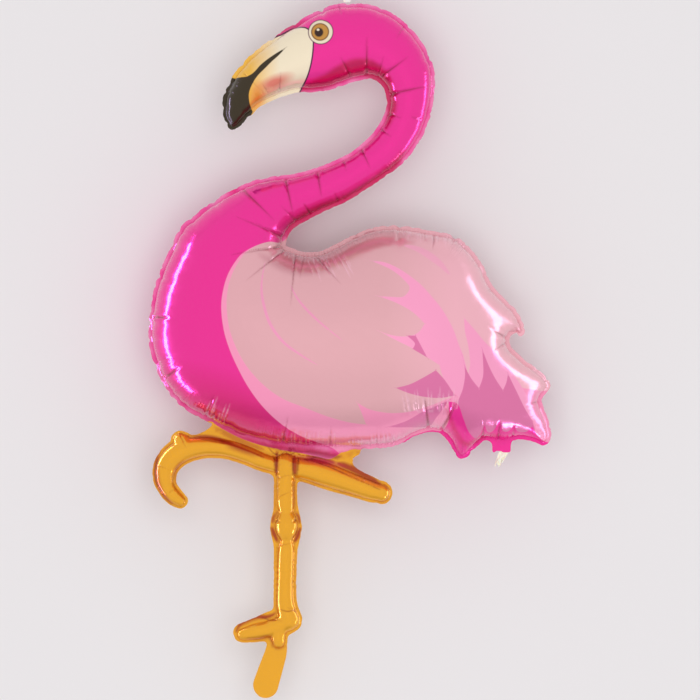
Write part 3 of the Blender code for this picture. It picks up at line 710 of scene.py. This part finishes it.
def along_the_weld(at):
    """Each point's nearest place along the weld, how much film gathers there, and the weld's length."""
    best = np.full(len(at), 1e18)
    along = np.zeros(len(at))
    strength = np.zeros(len(at))
    offset = 0.0
    for line in weld_lines:
        loop = respaced(line, 2.5)
        step = np.hypot(*(loop[1] - loop[0]))
        ahead = np.roll(loop, -BEND_STEPS, axis=0) - loop
        behind = loop - np.roll(loop, BEND_STEPS, axis=0)
        turn = ahead[:, 0] * behind[:, 1] - ahead[:, 1] * behind[:, 0]
        curvature = turn / (np.hypot(*ahead.T) * np.hypot(*behind.T)) / (BEND_STEPS * step)
        if curvature.sum() < 0:
            curvature = -curvature
        slim = 1.0 if len(loop) * step > BODY_LOOP else 0.3
        gather = np.clip(0.42 + 30 * curvature, 0.2, 1.0) * slim
        gather = sum(np.roll(gather, k) for k in range(-3, 4)) / 7
        for k, (a, b) in enumerate(zip(loop, np.roll(loop, -1, axis=0))):
            px, py = at[:, 0] - a[0], at[:, 1] - a[1]
            side = b - a
            share = np.clip((px * side[0] + py * side[1]) / (side @ side), 0, 1)
            away = (px - share * side[0]) ** 2 + (py - share * side[1]) ** 2
            closer = away < best
            best = np.where(closer, away, best)
            along = np.where(closer, offset + (k + share) * step, along)
            here = gather[k] * (1 - share) + gather[(k + 1) % len(loop)] * share
            strength = np.where(closer, here, strength)
        offset += len(loop) * step + 100.0
    return along, strength, offset


ALONG, GATHER, WELD_TOTAL = along_the_weld(PLAN)
print("weld length:", round(WELD_TOTAL * UNIT, 2), "m")

# %% [markdown]
# ## Puckers
#
# Real puckers come in sizes: hair-fine ones a few millimetres apart that die out at once, and
# fewer, wider ones that reach further into the film. Each is a groove with its own place, width,
# length and depth. The random numbers are seeded, so every run gathers the film the same way.

# %% Three sizes of pucker
DICE = np.random.default_rng(7)
PUCKER_SIZES = [
    # spacing, half width, shortest and longest reach, depth
    (5.6, 1.3, 4.0, 11.0, 0.55),
    (12.5, 2.0, 8.0, 22.0, 1.25),
    (29.0, 3.6, 16.0, 40.0, 1.9),
]


def pucker_set(spacing, half_width, shortest, longest, depth):
    """The places, widths, reaches and depths of all puckers of one size."""
    count = int(WELD_TOTAL / spacing) + 4
    return (
        np.cumsum(spacing * DICE.uniform(0.55, 1.45, count)) - spacing,
        half_width * DICE.uniform(0.7, 1.4, count),
        DICE.uniform(shortest, longest, count),
        depth * DICE.uniform(0.15, 1.0, count) ** 1.3,
    )


PUCKER_SETS = [pucker_set(*size) for size in PUCKER_SIZES]


def puckers(sets, along, away, strength):
    """How far the film is drawn in by its puckers, at a distance from the weld."""
    total = np.zeros(len(along))
    for place, width, reach, deep in sets:
        middle = np.clip(np.searchsorted(place, along), 1, len(place) - 2)
        for k in (-1, 0, 1):
            index = middle + k
            groove = np.exp(-(((along - place[index]) / width[index]) ** 2))
            fade = np.clip(1 - away / reach[index], 0, 1) ** 1.6
            total += deep[index] * groove * fade
    return total * strength


def slow_noise(along, spacing):
    """Smooth random numbers between -1 and 1 along the weld."""
    knots = DICE.uniform(-1, 1, int(WELD_TOTAL / spacing) + 3)
    place = along / spacing
    i = place.astype(int)
    t = place - i
    t = t * t * (3 - 2 * t)
    return knots[i] * (1 - t) + knots[i + 1] * t


def crease_depth(at):
    """How far creases draw the film in, and how near each point is to a coarse or a fine fold's bottom."""
    total, line, pale = np.zeros(len(at)), np.zeros(len(at)), np.zeros(len(at))
    for number, (x0, y0, x1, y1, half_width, depth) in enumerate(CREASES):
        start, way = np.array([x0, y0]), np.array([x1 - x0, y1 - y0])
        length = np.hypot(*way)
        way = way / length
        rel = at - start
        t = (rel @ way) / length
        q = np.abs(rel @ np.array([-way[1], way[0]])) / half_width
        run = np.clip(1 - t, 0, 1) ** 0.8 * np.clip((t + 0.25) / 0.25, 0, 1)
        total += depth * run * (np.exp(-(q**2)) - 0.32 * np.exp(-(((q - 2.1) / 0.9) ** 2)))
        if number < FINE_FROM:
            line = np.maximum(line, np.clip(depth * run, 0, 1) * np.exp(-((q / 0.6) ** 2)))
        else:
            pale = np.maximum(pale, np.clip(2.2 * run, 0, 1) * np.exp(-((q / 0.9) ** 2)))
    return total, line, pale


PUCKER = puckers(PUCKER_SETS, ALONG, np.maximum(depth_at, 0.0), GATHER)
CREASE, FOLD_LINE, FOLD_GLINTS = (np.where(IN_GAS, part, 0.0) for part in crease_depth(PLAN))
print("deepest pucker:", round(PUCKER.max() * UNIT * 1000, 1), "mm")

# %% [markdown]
# ## From the flat mesh to the balloon
#
# The film is lifted by its height, and then drawn in along its own normal by the puckers and
# creases. The margin outside the weld stays thin, but it isn't still: its edge is pulled in where
# a pucker meets it, and it waves up and down a little. A web between two chambers does lie still.

# %% Lift, pucker and wave
def inward_direction(at):
    """The way from the weld into the chamber, in the sheet's plane."""
    reach = 1.6
    dx = sampled(DEPTH_FIELD, at + [reach, 0]) - sampled(DEPTH_FIELD, at - [reach, 0])
    dy = sampled(DEPTH_FIELD, at + [0, reach]) - sampled(DEPTH_FIELD, at - [0, reach])
    size = np.maximum(np.hypot(dx, dy), 1e-6)
    return np.column_stack([dx / size, dy / size])


def film_normals(points):
    """Area-weighted normals of the filled part only, pointing away from the gas."""
    filled = TRIANGLES[IN_GAS[TRIANGLES].any(axis=1)]
    a, b, c = (points[filled[:, k]] for k in range(3))
    cross = np.cross(b - a, c - a)
    cross *= np.sign(cross[:, 2:])
    total = np.zeros_like(points)
    for k in range(3):
        for axis in range(3):
            total[:, axis] += np.bincount(filled[:, k], cross[:, axis], len(points))
    return total / np.maximum(np.linalg.norm(total, axis=1, keepdims=True), 1e-9)


outside = np.clip(-depth_at / WELD_WIDTH, 0, 1.2)
inward = inward_direction(PLAN)
smooth_film = np.column_stack([PLAN, HEIGHT_FIELD])
NORMALS = film_normals(smooth_film)
EDGE_BITE = puckers(PUCKER_SETS, ALONG, np.zeros(len(PLAN)), np.clip(GATHER * 1.5, 0.3, 1.0)) * 0.8
EDGE_WAVE = slow_noise(ALONG, 9.0) * 0.55 + slow_noise(ALONG, 23.0) * 0.75
EDGE_WAVE = EDGE_WAVE * np.clip(GATHER * 1.6, 0.25, 1)
STILL = np.clip((-sampled(CUT_FIELD, PLAN) - WELD_WIDTH) / 2, 0, 1) * np.clip(outside, 0, 1)


def sheet_points(side, crease_share):
    """One film's points in sheet units: side is 1 for the upper film and -1 for the lower."""
    drawn = PUCKER + crease_share * CREASE
    points = smooth_film - NORMALS * drawn[:, None] * (depth_at > -0.3)[:, None]
    margin = depth_at <= 0.25
    pull = ((PUCKER * 0.6 + outside * EDGE_BITE) * (1 - STILL))[:, None] * inward
    points[margin, :2] = (PLAN + pull)[margin]
    points[margin, 2] = 0.0
    wave = np.where(margin, np.clip(outside, 0, 1) * EDGE_WAVE * (1 - STILL), 0.0)
    points[:, 2] = np.maximum(points[:, 2], 0.0) * side + wave + side * FILM / 2 / UNIT
    return points


UPPER = sheet_points(1, 1.0)
LOWER = sheet_points(-1, 0.5)
floor_level = -SEAM_Z / UNIT
LOWER[:, 2] = np.maximum(LOWER[:, 2], floor_level + 0.15 * np.exp(-np.abs(LOWER[:, 2] - floor_level)))

# %% [markdown]
# ## One closed skin
#
# Both sheets are made from the same flat mesh and joined round the cut edge, so the balloon is one
# closed skin with its faces outwards. A plain shape could be extruded and bevelled by hand, but no
# such tool follows an outline with hundreds of puckers, so this piece is built from its points.

# %% Close the skin and hand it to Blender
def placed(points):
    """Sheet points with a height, in the model's metres."""
    x, y = to_model(points[:, 0], points[:, 1])
    return np.column_stack([x, y, SEAM_Z + points[:, 2] * UNIT])


corner = PLAN[TRIANGLES]
turn = np.cross(corner[:, 1] - corner[:, 0], corner[:, 2] - corner[:, 0])
upward = np.where((turn < 0)[:, None], TRIANGLES, TRIANGLES[:, ::-1])
edges = {(int(p), int(q)) for f in upward for p, q in ((f[0], f[1]), (f[1], f[2]), (f[2], f[0]))}
rim = [(p, q) for p, q in edges if (q, p) not in edges]
count = len(PLAN)
faces = upward.tolist()
faces += [[a + count, c + count, b + count] for a, b, c in upward.tolist()]
faces += [[q, p, p + count, q + count] for p, q in rim]
mesh = bpy.data.meshes.new("foil_skin")
mesh.from_pydata(np.vstack([placed(UPPER), placed(LOWER)]).tolist(), [], faces)
mesh.validate()
foil = bpy.data.objects.new("foil_skin", mesh)
bpy.context.scene.collection.objects.link(foil)
mesh.shade_smooth()
mesh.set_sharp_from_angle(angle=math.radians(75))
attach(foil, "root")
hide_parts("foil_balloon")
print("skin:", len(mesh.vertices), "points,", len(mesh.polygons), "faces, rim", len(rim))

# %% [markdown]
# ## The print on the skin
#
# Every point of both sheets now stores how far it is from each printed line and each band of painted
# shade. The flat position is kept too, as a UV map: it is where the point was when the film lay on the
# printing press, so small round things like the eye can be drawn by their distance from a place on it.

# %% Store the printed shapes and the painted shade on the mesh
def stroke_field(points, half_width, at):
    """A brush line that tapers to both ends."""
    line = smooth_curve(points, steps=14)
    near = np.full(len(at), 1e9)
    for (x, y), share in zip(line, np.linspace(0, 1, len(line))):
        width = half_width * math.sin(math.pi * share) ** 0.6
        near = np.minimum(near, np.hypot(at[:, 0] - x, at[:, 1] - y) - width)
    return near


def print_field(outline):
    """How far each point of the sheet is from a printed outline, below zero inside it."""
    return shape_field(smooth_curve(outline, closed=True, steps=12), PLAN)


# where the film near the weld is combed into fine lines: place, radius and strength
COMBED = [
    (441, 396, 26, 1.8), (385, 444, 34, 0.8), (322, 254, 26, 0.8), (211, 396, 13, 0.9), (296, 440, 40, 0.6),
    (500, 428, 40, 0.6), (452, 238, 34, 0.5), (170, 372, 30, 0.6), (262, 228, 26, 0.6), (262, 88, 18, 0.5),
]
comb = np.zeros(len(PLAN))
for x, y, radius, strength in COMBED:
    squared = (PLAN[:, 0] - x) ** 2 + (PLAN[:, 1] - y) ** 2
    comb = np.maximum(comb, strength * np.exp(-(squared / radius**2)))

# hair-fine puckers start at the weld and die out within 5 to 30 mm, or 50 mm where they are combed
reach = 3.0 + 7.5 * (1 + slow_noise(ALONG, 9.0)) + 12.0 * comb
reach = np.where(ON_LEG, np.minimum(reach, 4.5), reach)
comb = np.where(ON_LEG, 0.0, comb)
ticks = np.clip(1 - np.maximum(depth_at, -3 * depth_at) / reach, 0, 1) * (2.6 * comb + GATHER)
BEAK_END = (240, 104)  # there are fewer of them within 18 units of the beak's end
from_beak_end = np.hypot(PLAN[:, 0] - BEAK_END[0], PLAN[:, 1] - BEAK_END[1])
ticks *= np.clip(0.25 + (from_beak_end - 18) / 14, 0.25, 1)

# painted shade on the gold: darker along the outer sides of the legs, in soft bands, and a little all along
# the weld
burnt = 0.35 * np.clip(1.4 - np.abs(depth_at) / 2.0, 0, 1)
burnt = burnt * np.clip(0.6 + 0.5 * slow_noise(ALONG, 14.0), 0, 1)
for line, half_width, strength in GOLD_SHADE_STROKES:
    near = stroke_field(line, half_width, PLAN)
    burnt = np.maximum(burnt, strength * np.clip((1.3 - near) / 2.2, 0, 1))
# the painted shade of the fold strokes joins the darkened bottoms of the creases
for line, half_width, strength in FOLD_STROKES:
    FOLD_LINE = np.maximum(FOLD_LINE, strength * np.clip(0.6 - stroke_field(line, half_width, PLAN), 0, 1))

STORED_FIELDS = {name: np.minimum.reduce([print_field(outline) for outline in outlines])
          for name, outlines in PRINTED_AREAS.items()}
for name, strokes in PRINT_AND_SHADE_STROKES.items():
    STORED_FIELDS[name] = np.minimum.reduce([stroke_field(line, half_width, PLAN) for line, half_width in strokes])
STORED_FIELDS.update(weld_distance=depth_at, weld_place=ALONG, fold_line=FOLD_LINE, pale_folds=FOLD_GLINTS,
              ticks=ticks, burnt=burnt)
for name, values in STORED_FIELDS.items():
    layer = mesh.attributes.new(name, "FLOAT", "POINT")
    layer.data.foreach_set("value", np.tile(values, 2).astype(np.float32))
print("printed shapes:", ", ".join(STORED_FIELDS))

flat_place = mesh.uv_layers.new(name="press_sheet")
corner_points = np.empty(len(mesh.loops), int)
mesh.loops.foreach_get("vertex_index", corner_points)
press = np.tile(PLAN, (2, 1))[corner_points] / PRESS
flat_place.data.foreach_set("uv", np.column_stack([press[:, 0], 1 - press[:, 1]]).ravel())

# %% [markdown]
# ## The valve's film
#
# Two layers of ivory polyethylene come out of the stub under the tail: the end of the one-way
# valve. The film is limp and gets crumpled every time somebody pushes a nozzle into it. It is
# modelled from a grid: bent down off the stub, narrowed to a worn tip, crumpled, and given its
# thickness by a Solidify modifier.

# %% Crumpled valve film
tail_low, tail_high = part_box("valve_tail")
bpy.ops.object.select_all(action="DESELECT")
bpy.ops.mesh.primitive_grid_add(x_subdivisions=22, y_subdivisions=30, size=1.0)
valve = bpy.context.object
valve.name = "valve_film"
film_width, film_length = 0.0172, 0.0240
root_x = (tail_low[0] + tail_high[0]) / 2 + 0.0045
for v in valve.data.vertices:
    across, out = v.co.x, 0.5 - v.co.y
    ragged = 0.11 * math.sin(11 * across + 0.6) + 0.06 * math.sin(31 * across + 1.0)
    narrow = 1 - 0.14 * out**1.5
    lean = -0.0095 * out
    fold = 0.0019 * math.sin(9.5 * across + 5.2 * out) + 0.0012 * math.sin(19 * across - 9 * out + 0.7)
    v.co.x = root_x + lean + across * film_width * narrow
    v.co.y = tail_high[1] + 0.002 - out * film_length * (1 + ragged - 0.5 * across**2 - 0.12 * across)
    v.co.z = SEAM_Z - 0.0016 * out**2 + fold * (0.25 + out)
bpy.ops.object.shade_smooth()
wall = valve.modifiers.new("film", "SOLIDIFY")
wall.thickness = 0.0003  # two layers, drawn thicker than real film
wall.offset = 0
bpy.ops.object.modifier_apply(modifier=wall.name)
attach(valve, "root")
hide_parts("valve_tail")
print("valve film:", len(valve.data.polygons), "faces")

# %% [markdown]
# ## Inks and films
#
# Polyester film gets a mist of aluminium, then transparent inks, then a clear lacquer. Under a
# transparent ink the aluminium shows as coloured metal, so the body is partly metallic with a
# coat. Where white was printed first, as under the pale wing and beak, the metal is hidden and the
# finish is that of plain glossy plastic. Colours are written as sRGB hex codes, and one function
# turns them into the linear values of the shader.

# %% Colours and the one helper that adds a node
def colour(code):
    """An sRGB hex colour as the linear values that the shader wants."""
    parts = [int(code[k:k + 2], 16) / 255 for k in (1, 3, 5)]
    return (*[c / 12.92 if c <= 0.04045 else ((c + 0.055) / 1.055) ** 2.4 for c in parts], 1.0)


def connect(owner, node, links):
    """Sets inputs of a node: each to a value, to an output, or to another node's first output."""
    for key, value in links:
        if isinstance(value, bpy.types.Node):
            value = next(output for output in value.outputs if output.enabled)
        if isinstance(value, bpy.types.NodeSocket):
            owner.node_tree.links.new(value, node.inputs[key])
        else:
            node.inputs[key].default_value = value


def add_node(owner, kind, links=(), **settings):
    """Adds one node to a material or world, with its settings and links."""
    node = owner.node_tree.nodes.new(kind)
    for name, value in settings.items():
        setattr(node, name, value)
    connect(owner, node, links)
    return node


def new_material(name):
    """A new material and its shader."""
    material = bpy.data.materials.new(name)
    material.use_nodes = True
    return material, material.node_tree.nodes["Principled BSDF"]


INKS = {
    "magenta": "#F72799", "crimson_shade": "#CE0250", "margin_sheen_pink": "#FB8FC0", "wing_pink": "#FD9ABF",
    "wing_beige": "#E5ADB2", "tail_blush": "#F5B7C2", "feather_pink": "#FEA4C9", "mauve": "#E275A7",
    "reflected_dusky_rose": "#C07884", "stroke_pink": "#F29CBD", "arc_pink": "#F6ABC3", "fold_glint_pink": "#FFC9DC",
    "gold": "#F6B020", "burnt_gold": "#B2450C", "cream": "#F7EACB", "beak_yellow": "#F5BE45",
    "beak_black": "#322605", "beak_line": "#5A1F4A", "blush": "#E27F6C", "orange": "#EE9A3C",
    "iris": "#CC9440", "iris_ring": "#7A4A1C", "pupil": "#33180C", "fold_shade": "#A66F7C",
}
INKS = {name: colour(code) for name, code in INKS.items()}
print("inks:", len(INKS))

# %% [markdown]
# ## Laying the inks over each other
#
# A printing press lays one ink over the other, and the shader does the same: it starts with the
# magenta and mixes one colour after another over it. Some layers are painted shade, painted reflection
# and painted highlight rather than ink. Each layer has masks that are multiplied: a stored distance cut
# at zero, a round spot on the flat sheet, or a plain number for thin ink. Painting the colours on the
# mesh's points would be simpler, but every edge would look torn.

# %% Printed metallised film: its printed areas
foil_film, shader = new_material("printed_metallised_polyester")
stored = {name: add_node(foil_film, "ShaderNodeAttribute", attribute_name=name).outputs["Fac"]
          for name in STORED_FIELDS}
PRINTED_EDGE = 0.35  # half the width over which an ink's edge fades, in units
masks = {name: add_node(foil_film, "ShaderNodeMapRange",
                        [("Value", stored[name]), ("From Min", PRINTED_EDGE), ("From Max", -PRINTED_EDGE)])
         for name in [*PRINTED_AREAS, "wing_strokes", "tail_strokes"]}
place = add_node(foil_film, "ShaderNodeUVMap", uv_map="press_sheet")
from_left = add_node(foil_film, "ShaderNodeSeparateXYZ", [(0, place)]).outputs["X"]


def spot(x, y, half_length, half_width, soft, turn=0.0):
    """A round or oval printed spot on the flat sheet, given in units; soft is its share that fades."""
    flat = add_node(foil_film, "ShaderNodeMapping",
                    [("Vector", place), ("Location", (x / PRESS, 1 - y / PRESS, 0)),
                     ("Rotation", (0, 0, math.radians(turn))),
                     ("Scale", (half_length / PRESS, half_width / PRESS, 1))],
                    vector_type="TEXTURE")
    away = add_node(foil_film, "ShaderNodeVectorMath", [(0, flat)], operation="LENGTH")
    return add_node(foil_film, "ShaderNodeMapRange",
                    [("Value", away), ("From Min", 1 + soft), ("From Max", 1 - soft)])


# a dark line along the edge of the beak
line = add_node(foil_film, "ShaderNodeMath", [(0, stored["beak"])], operation="ABSOLUTE")
line = add_node(foil_film, "ShaderNodeMapRange", [("Value", line), ("From Min", 1.0), ("From Max", 0.5)])
# the beak turns yellow towards its tip, and the pale wing a little pinker towards the tail
towards_tip = add_node(foil_film, "ShaderNodeMapRange",
                       [("Value", from_left), ("From Min", 280 / PRESS), ("From Max", 250 / PRESS)])
beak_ink = add_node(foil_film, "ShaderNodeMix",
                    [("Factor", towards_tip), ("A", INKS["cream"]), ("B", INKS["beak_yellow"])],
                    data_type="RGBA")
towards_tail = add_node(foil_film, "ShaderNodeMapRange",
                        [("Value", from_left), ("From Min", 385 / PRESS), ("From Max", 455 / PRESS)])
wing_ink = add_node(foil_film, "ShaderNodeMix",
                    [("Factor", towards_tail), ("A", INKS["wing_beige"]), ("B", INKS["tail_blush"])],
                    data_type="RGBA")
# painted reflection: the flat margin outside the weld is paler, as if mirroring the light above, in patches
# about 35 mm long
patchy_sheen = add_node(foil_film, "ShaderNodeTexNoise",
                  [("W", stored["weld_place"]), ("Scale", 0.05), ("Detail", 1.0)], noise_dimensions="1D")
patchy_sheen = add_node(foil_film, "ShaderNodeMapRange",
                  [("Value", patchy_sheen), ("From Min", 0.3), ("From Max", 0.65),
                   ("To Min", 0.25), ("To Max", 0.85)])
margin = add_node(foil_film, "ShaderNodeMapRange",
                  [("Value", stored["weld_distance"]), ("From Min", 2.4), ("From Max", -2.2),
                   ("To Max", patchy_sheen)])
# painted shade: crimson bands along the neck's lower side, under the head, along the beak's upper edge,
# along the hem and along the belly's lower edge; painted reflection: a dusky band along the wing's upper edge
crimson_shade = add_node(foil_film, "ShaderNodeMapRange",
                   [("Value", stored["painted_shade_bands"]), ("From Min", 2.5), ("From Max", -4.0),
                    ("To Max", 0.85)],
                   interpolation_type="SMOOTHSTEP")
dusk_reflection = add_node(foil_film, "ShaderNodeMapRange",
                 [("Value", stored["dusk_reflection"]), ("From Min", 4.0), ("From Max", -5.0), ("To Max", 0.55)],
                 interpolation_type="SMOOTHSTEP")
layers = [
    # painted shade: crimson over the lower side of the breast and belly
    ([spot(240, 420, 66, 24, 0.85, -24), 0.72], "crimson_shade"),
    # painted reflection: the paler margin
    ([margin], "margin_sheen_pink"),
    ([masks["wing"]], "wing_pink"),
    ([masks["wing_main"], masks["wing"]], wing_ink),
    # painted reflection: the dusky band along the wing's upper edge
    ([dusk_reflection, masks["wing"]], "reflected_dusky_rose"),
    ([masks["tail_strokes"]], "arc_pink"),
    ([masks["long_feathers"]], "feather_pink"),
    ([masks["tail_feathers"]], "feather_pink"),
    ([masks["shade_feathers"]], "mauve"),
    ([masks["wing_strokes"]], "stroke_pink"),
    ([masks["tail_hem"]], "magenta"),
    # painted shade: the crimson bands along the lower sides
    ([crimson_shade], "crimson_shade"),
    # painted highlight: pale glints along the fine folds
    ([stored["pale_folds"], 0.45], "fold_glint_pink"),
    ([masks["beak"]], beak_ink),
    ([spot(274.5, 83.5, 15, 5.5, 0.6, 22), masks["beak"]], "blush"),
    ([spot(257, 97, 6, 11, 0.7, -10), masks["beak"]], "orange"),
    ([line], "beak_line"),
    ([masks["beak_tip"], masks["beak"]], "beak_black"),
    ([masks["legs_area"]], "gold"),
    # painted shade: the darker gold
    ([stored["burnt"], masks["legs_area"]], "burnt_gold"),
    # painted reflection: the pink belly's red seen in the gold web between the belly and the thigh
    ([spot(318, 461.3, 21, 3.0, 0.6, -11), masks["legs_area"], 0.75], "crimson_shade"),
    # the eye: a line, the white, the iris with its darker rim, the pupil and its glint
    ([spot(320.8, 33.2, 12.7, 12.7, 0.04)], "beak_line"),
    ([spot(320.8, 33.2, 11.8, 11.8, 0.04)], "cream"),
    ([spot(320.2, 33.2, 9.0, 9.0, 0.05)], "iris_ring"),
    ([spot(320.2, 33.2, 7.9, 7.9, 0.07)], "iris"),
    ([spot(319.0, 33.6, 4.4, 4.6, 0.15)], "pupil"),
    ([spot(318.2, 31.0, 1.4, 1.2, 0.3)], "cream"),
]
paint = INKS["magenta"]
for (mask, *more), ink in layers:
    for other in more:
        mask = add_node(foil_film, "ShaderNodeMath", [(0, mask), (1, other)], operation="MULTIPLY")
    ink = INKS[ink] if isinstance(ink, str) else ink
    paint = add_node(foil_film, "ShaderNodeMix", [("Factor", mask), ("A", paint), ("B", ink)],
                     data_type="RGBA")
print("print layers:", len(layers))

# %% [markdown]
# ## Folds, gloss and crinkle
#
# Under transparent ink the film is half a mirror, under white ink it is nearly plain plastic, and
# gold ink lets most metal through. The lacquer is smooth, and below it the film has a slow crinkle
# that comes from its roll. The folds are real ones in the mesh, but a fold also traps shade that
# no mesh this coarse can, so its bottom is darkened. Hair-fine puckers are narrower than a row of
# mesh points and are a bump: they are drawn 4 to 7 mm apart, as coarse as the picture can show.

# %% Printed metallised film: folds, gloss and crinkle
fold = add_node(foil_film, "ShaderNodeMath", [(0, stored["fold_line"]), (1, 0.85)], operation="MULTIPLY")
folded = add_node(foil_film, "ShaderNodeMix", [("Factor", fold), ("A", paint), ("B", INKS["fold_shade"])],
                  data_type="RGBA", blend_type="MULTIPLY")

METAL_UNDER_INK, METAL_UNDER_WHITE, METAL_UNDER_GOLD = 0.5, 0.36, 0.6
opaque = add_node(foil_film, "ShaderNodeMath", [(0, masks["wing"]), (1, masks["beak"])],
                  operation="MAXIMUM")
metal = add_node(foil_film, "ShaderNodeMapRange",
                 [("Value", opaque), ("To Min", METAL_UNDER_INK), ("To Max", METAL_UNDER_WHITE)])
metal = add_node(foil_film, "ShaderNodeMix",
                 [("Factor", masks["legs_area"]), ("A", metal), ("B", METAL_UNDER_GOLD)],
                 data_type="FLOAT")

combed = add_node(foil_film, "ShaderNodeTexNoise",
                  [("W", stored["weld_place"]), ("Scale", 0.42), ("Detail", 2.0)], noise_dimensions="1D")
gathered = add_node(foil_film, "ShaderNodeMath", [(0, combed), (1, stored["ticks"])], operation="MULTIPLY")
pulled = add_node(foil_film, "ShaderNodeBump",
                  [("Height", gathered), ("Strength", 1.0), ("Distance", 0.0014)])

CRINKLE = 0.015  # size of the film's slow crinkle
where = add_node(foil_film, "ShaderNodeTexCoord").outputs["Object"]
crinkle = add_node(foil_film, "ShaderNodeTexNoise",
                   [("Vector", where), ("Scale", 1 / CRINKLE), ("Detail", 1.0)])
gloss = add_node(foil_film, "ShaderNodeMapRange",
                 [("Value", crinkle), ("From Min", 0.3), ("From Max", 0.7),
                  ("To Min", 0.14), ("To Max", 0.21)])
gloss = add_node(foil_film, "ShaderNodeMath", [(0, masks["wing"]), (1, 0.03), (2, gloss)],
                 operation="MULTIPLY_ADD")
bump = add_node(foil_film, "ShaderNodeBump",
                [("Height", crinkle), ("Strength", 0.5), ("Distance", 0.0006), ("Normal", pulled)])
connect(foil_film, shader, [
    ("Base Color", folded), ("Metallic", metal), ("Roughness", gloss), ("IOR", 1.5), ("Normal", bump),
    ("Specular IOR Level", 0.3), ("Coat Weight", 0.55), ("Coat Roughness", 0.05), ("Coat Normal", bump),
])
foil.data.materials.append(foil_film)
print("foil finished")

# %% [markdown]
# ## The two plain films
#
# The valve's tube and the hanging tab are blown polyethylene, milky and satin, with a little light
# going through. Both are far too thin for a real thickness to matter, so a soft cloudiness, fine
# wrinkles and some scattering under the surface are what tells them from paper. The tab's own
# solid has the right shape and only gets the finish.

# %% Polyethylene films of the valve and the tab
CLOUDS = 0.006  # size of the milky patches in the film
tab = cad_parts["hanging_tab"]
for name, code, piece, rough in [("ivory_polyethylene_film", "#FFFCE8", valve, 0.38),
                                 ("white_polyethylene_film", "#F4F2EE", tab, 0.42)]:
    film, shader = new_material(name)
    where = add_node(film, "ShaderNodeTexCoord").outputs["Object"]
    cloudy = add_node(film, "ShaderNodeTexNoise",
                      [("Vector", where), ("Scale", 1 / CLOUDS), ("Detail", 4.0)])
    tint = add_node(film, "ShaderNodeMix",
                    [("Factor", cloudy), ("A", colour(code)), ("B", colour("#F5F0DE"))],
                    data_type="RGBA")
    wrinkles = add_node(film, "ShaderNodeBump",
                        [("Height", cloudy), ("Strength", 0.3), ("Distance", 0.0006)])
    connect(film, shader, [("Base Color", tint), ("Normal", wrinkles), ("Roughness", rough), ("IOR", 1.51),
                           ("Subsurface Weight", 0.15), ("Subsurface Scale", 0.002)])
    piece.data.materials.clear()
    piece.data.materials.append(film)
print("films finished")

# %% [markdown]
# ## Floor, light and camera
#
# The balloon lies on its belly and the camera looks straight down, which is how the photograph
# shows it. A glossy skin shows its surroundings more than its own colour, so the light is mostly
# about what there is to see in it: long soft strips low at both sides and a short one off the
# tail draw the bright streaks just inside the outline, and the big soft light above gives colour
# without a reflection. The camera is far away behind a long lens, so that the head and the belly,
# which stand at different heights, both stay where the flat drawing has them.

# %% Studio
bpy.ops.object.select_all(action="DESELECT")
bpy.ops.mesh.primitive_plane_add(size=30.0, location=(0, 0, 0))
floor = bpy.context.object
floor.name = "floor"
floor_finish, shader = new_material("matt_white_paint")
connect(floor_finish, shader, [("Base Color", colour("#E6E5E4")), ("Roughness", 0.85),
                               ("Specular IOR Level", 0.0)])
floor.data.materials.append(floor_finish)


def area_light(name, place, aim, width, height, power, tint="#FFFFFF", glossy=True, diffuse=True):
    """A soft rectangle of light at a place, turned towards its aim."""
    lamp = bpy.data.lights.new(name, "AREA")
    lamp.shape = "RECTANGLE"
    lamp.size, lamp.size_y = width, height
    lamp.energy = power
    lamp.color = colour(tint)[:3]
    light = bpy.data.objects.new(name, lamp)
    bpy.context.scene.collection.objects.link(light)
    light.location = place
    light.rotation_euler = (Vector(aim) - Vector(place)).to_track_quat("-Z", "Y").to_euler()
    light.visible_camera = False
    light.visible_glossy = glossy
    light.visible_diffuse = diffuse


area_light("soft_top", (0, -0.15, 4.4), (0, -0.05, 0), 3.0, 3.0, 62, glossy=False)
STRIPS = [
    # name, place, aim, length, width, power and tint
    ("left_strip", (-0.80, -0.04, 0.10), (0, -0.04, 0.14), 1.20, 0.07, 5.2, "#CFC0FF"),
    ("right_strip", (0.82, -0.03, 0.12), (0, -0.03, 0.14), 1.15, 0.16, 2.0, "#EADFFF"),
    ("tail_strip", (0.47, -0.62, 0.22), (0.30, -0.15, 0.14), 0.13, 0.06, 0.34, "#EADFFF"),
]
for strip in STRIPS:
    area_light(*strip, diffuse=False)

# the room is pale all round and duller beyond the feet, so what faces that way shows darker
world = bpy.data.worlds.new("studio")
bpy.context.scene.world = world
world.use_nodes = True
seen = add_node(world, "ShaderNodeTexCoord").outputs["Generated"]
way = add_node(world, "ShaderNodeSeparateXYZ", [(0, seen)])
fall = add_node(world, "ShaderNodeMapRange",
                [("Value", way.outputs["Y"]), ("From Min", -0.99), ("From Max", -0.80),
                 ("To Min", 0.48), ("To Max", 0.86)])
connect(world, world.node_tree.nodes["Background"], [("Strength", fall), ("Color", colour("#F3F0F4"))])

lens = bpy.data.cameras.new("camera")
lens.lens = 350
lens.sensor_width = 36
camera = bpy.data.objects.new("camera", lens)
camera.location = (0.00035, -0.0115, 11.855)
bpy.context.scene.collection.objects.link(camera)
bpy.context.scene.camera = camera
bpy.context.scene.view_settings.view_transform = "Standard"

# %% [markdown]
# ## Bringing the scene up to date
#
# The view layer is updated once more, so that every piece stands where it was put.

# %% Bring the scene up to date
bpy.context.view_layer.update()
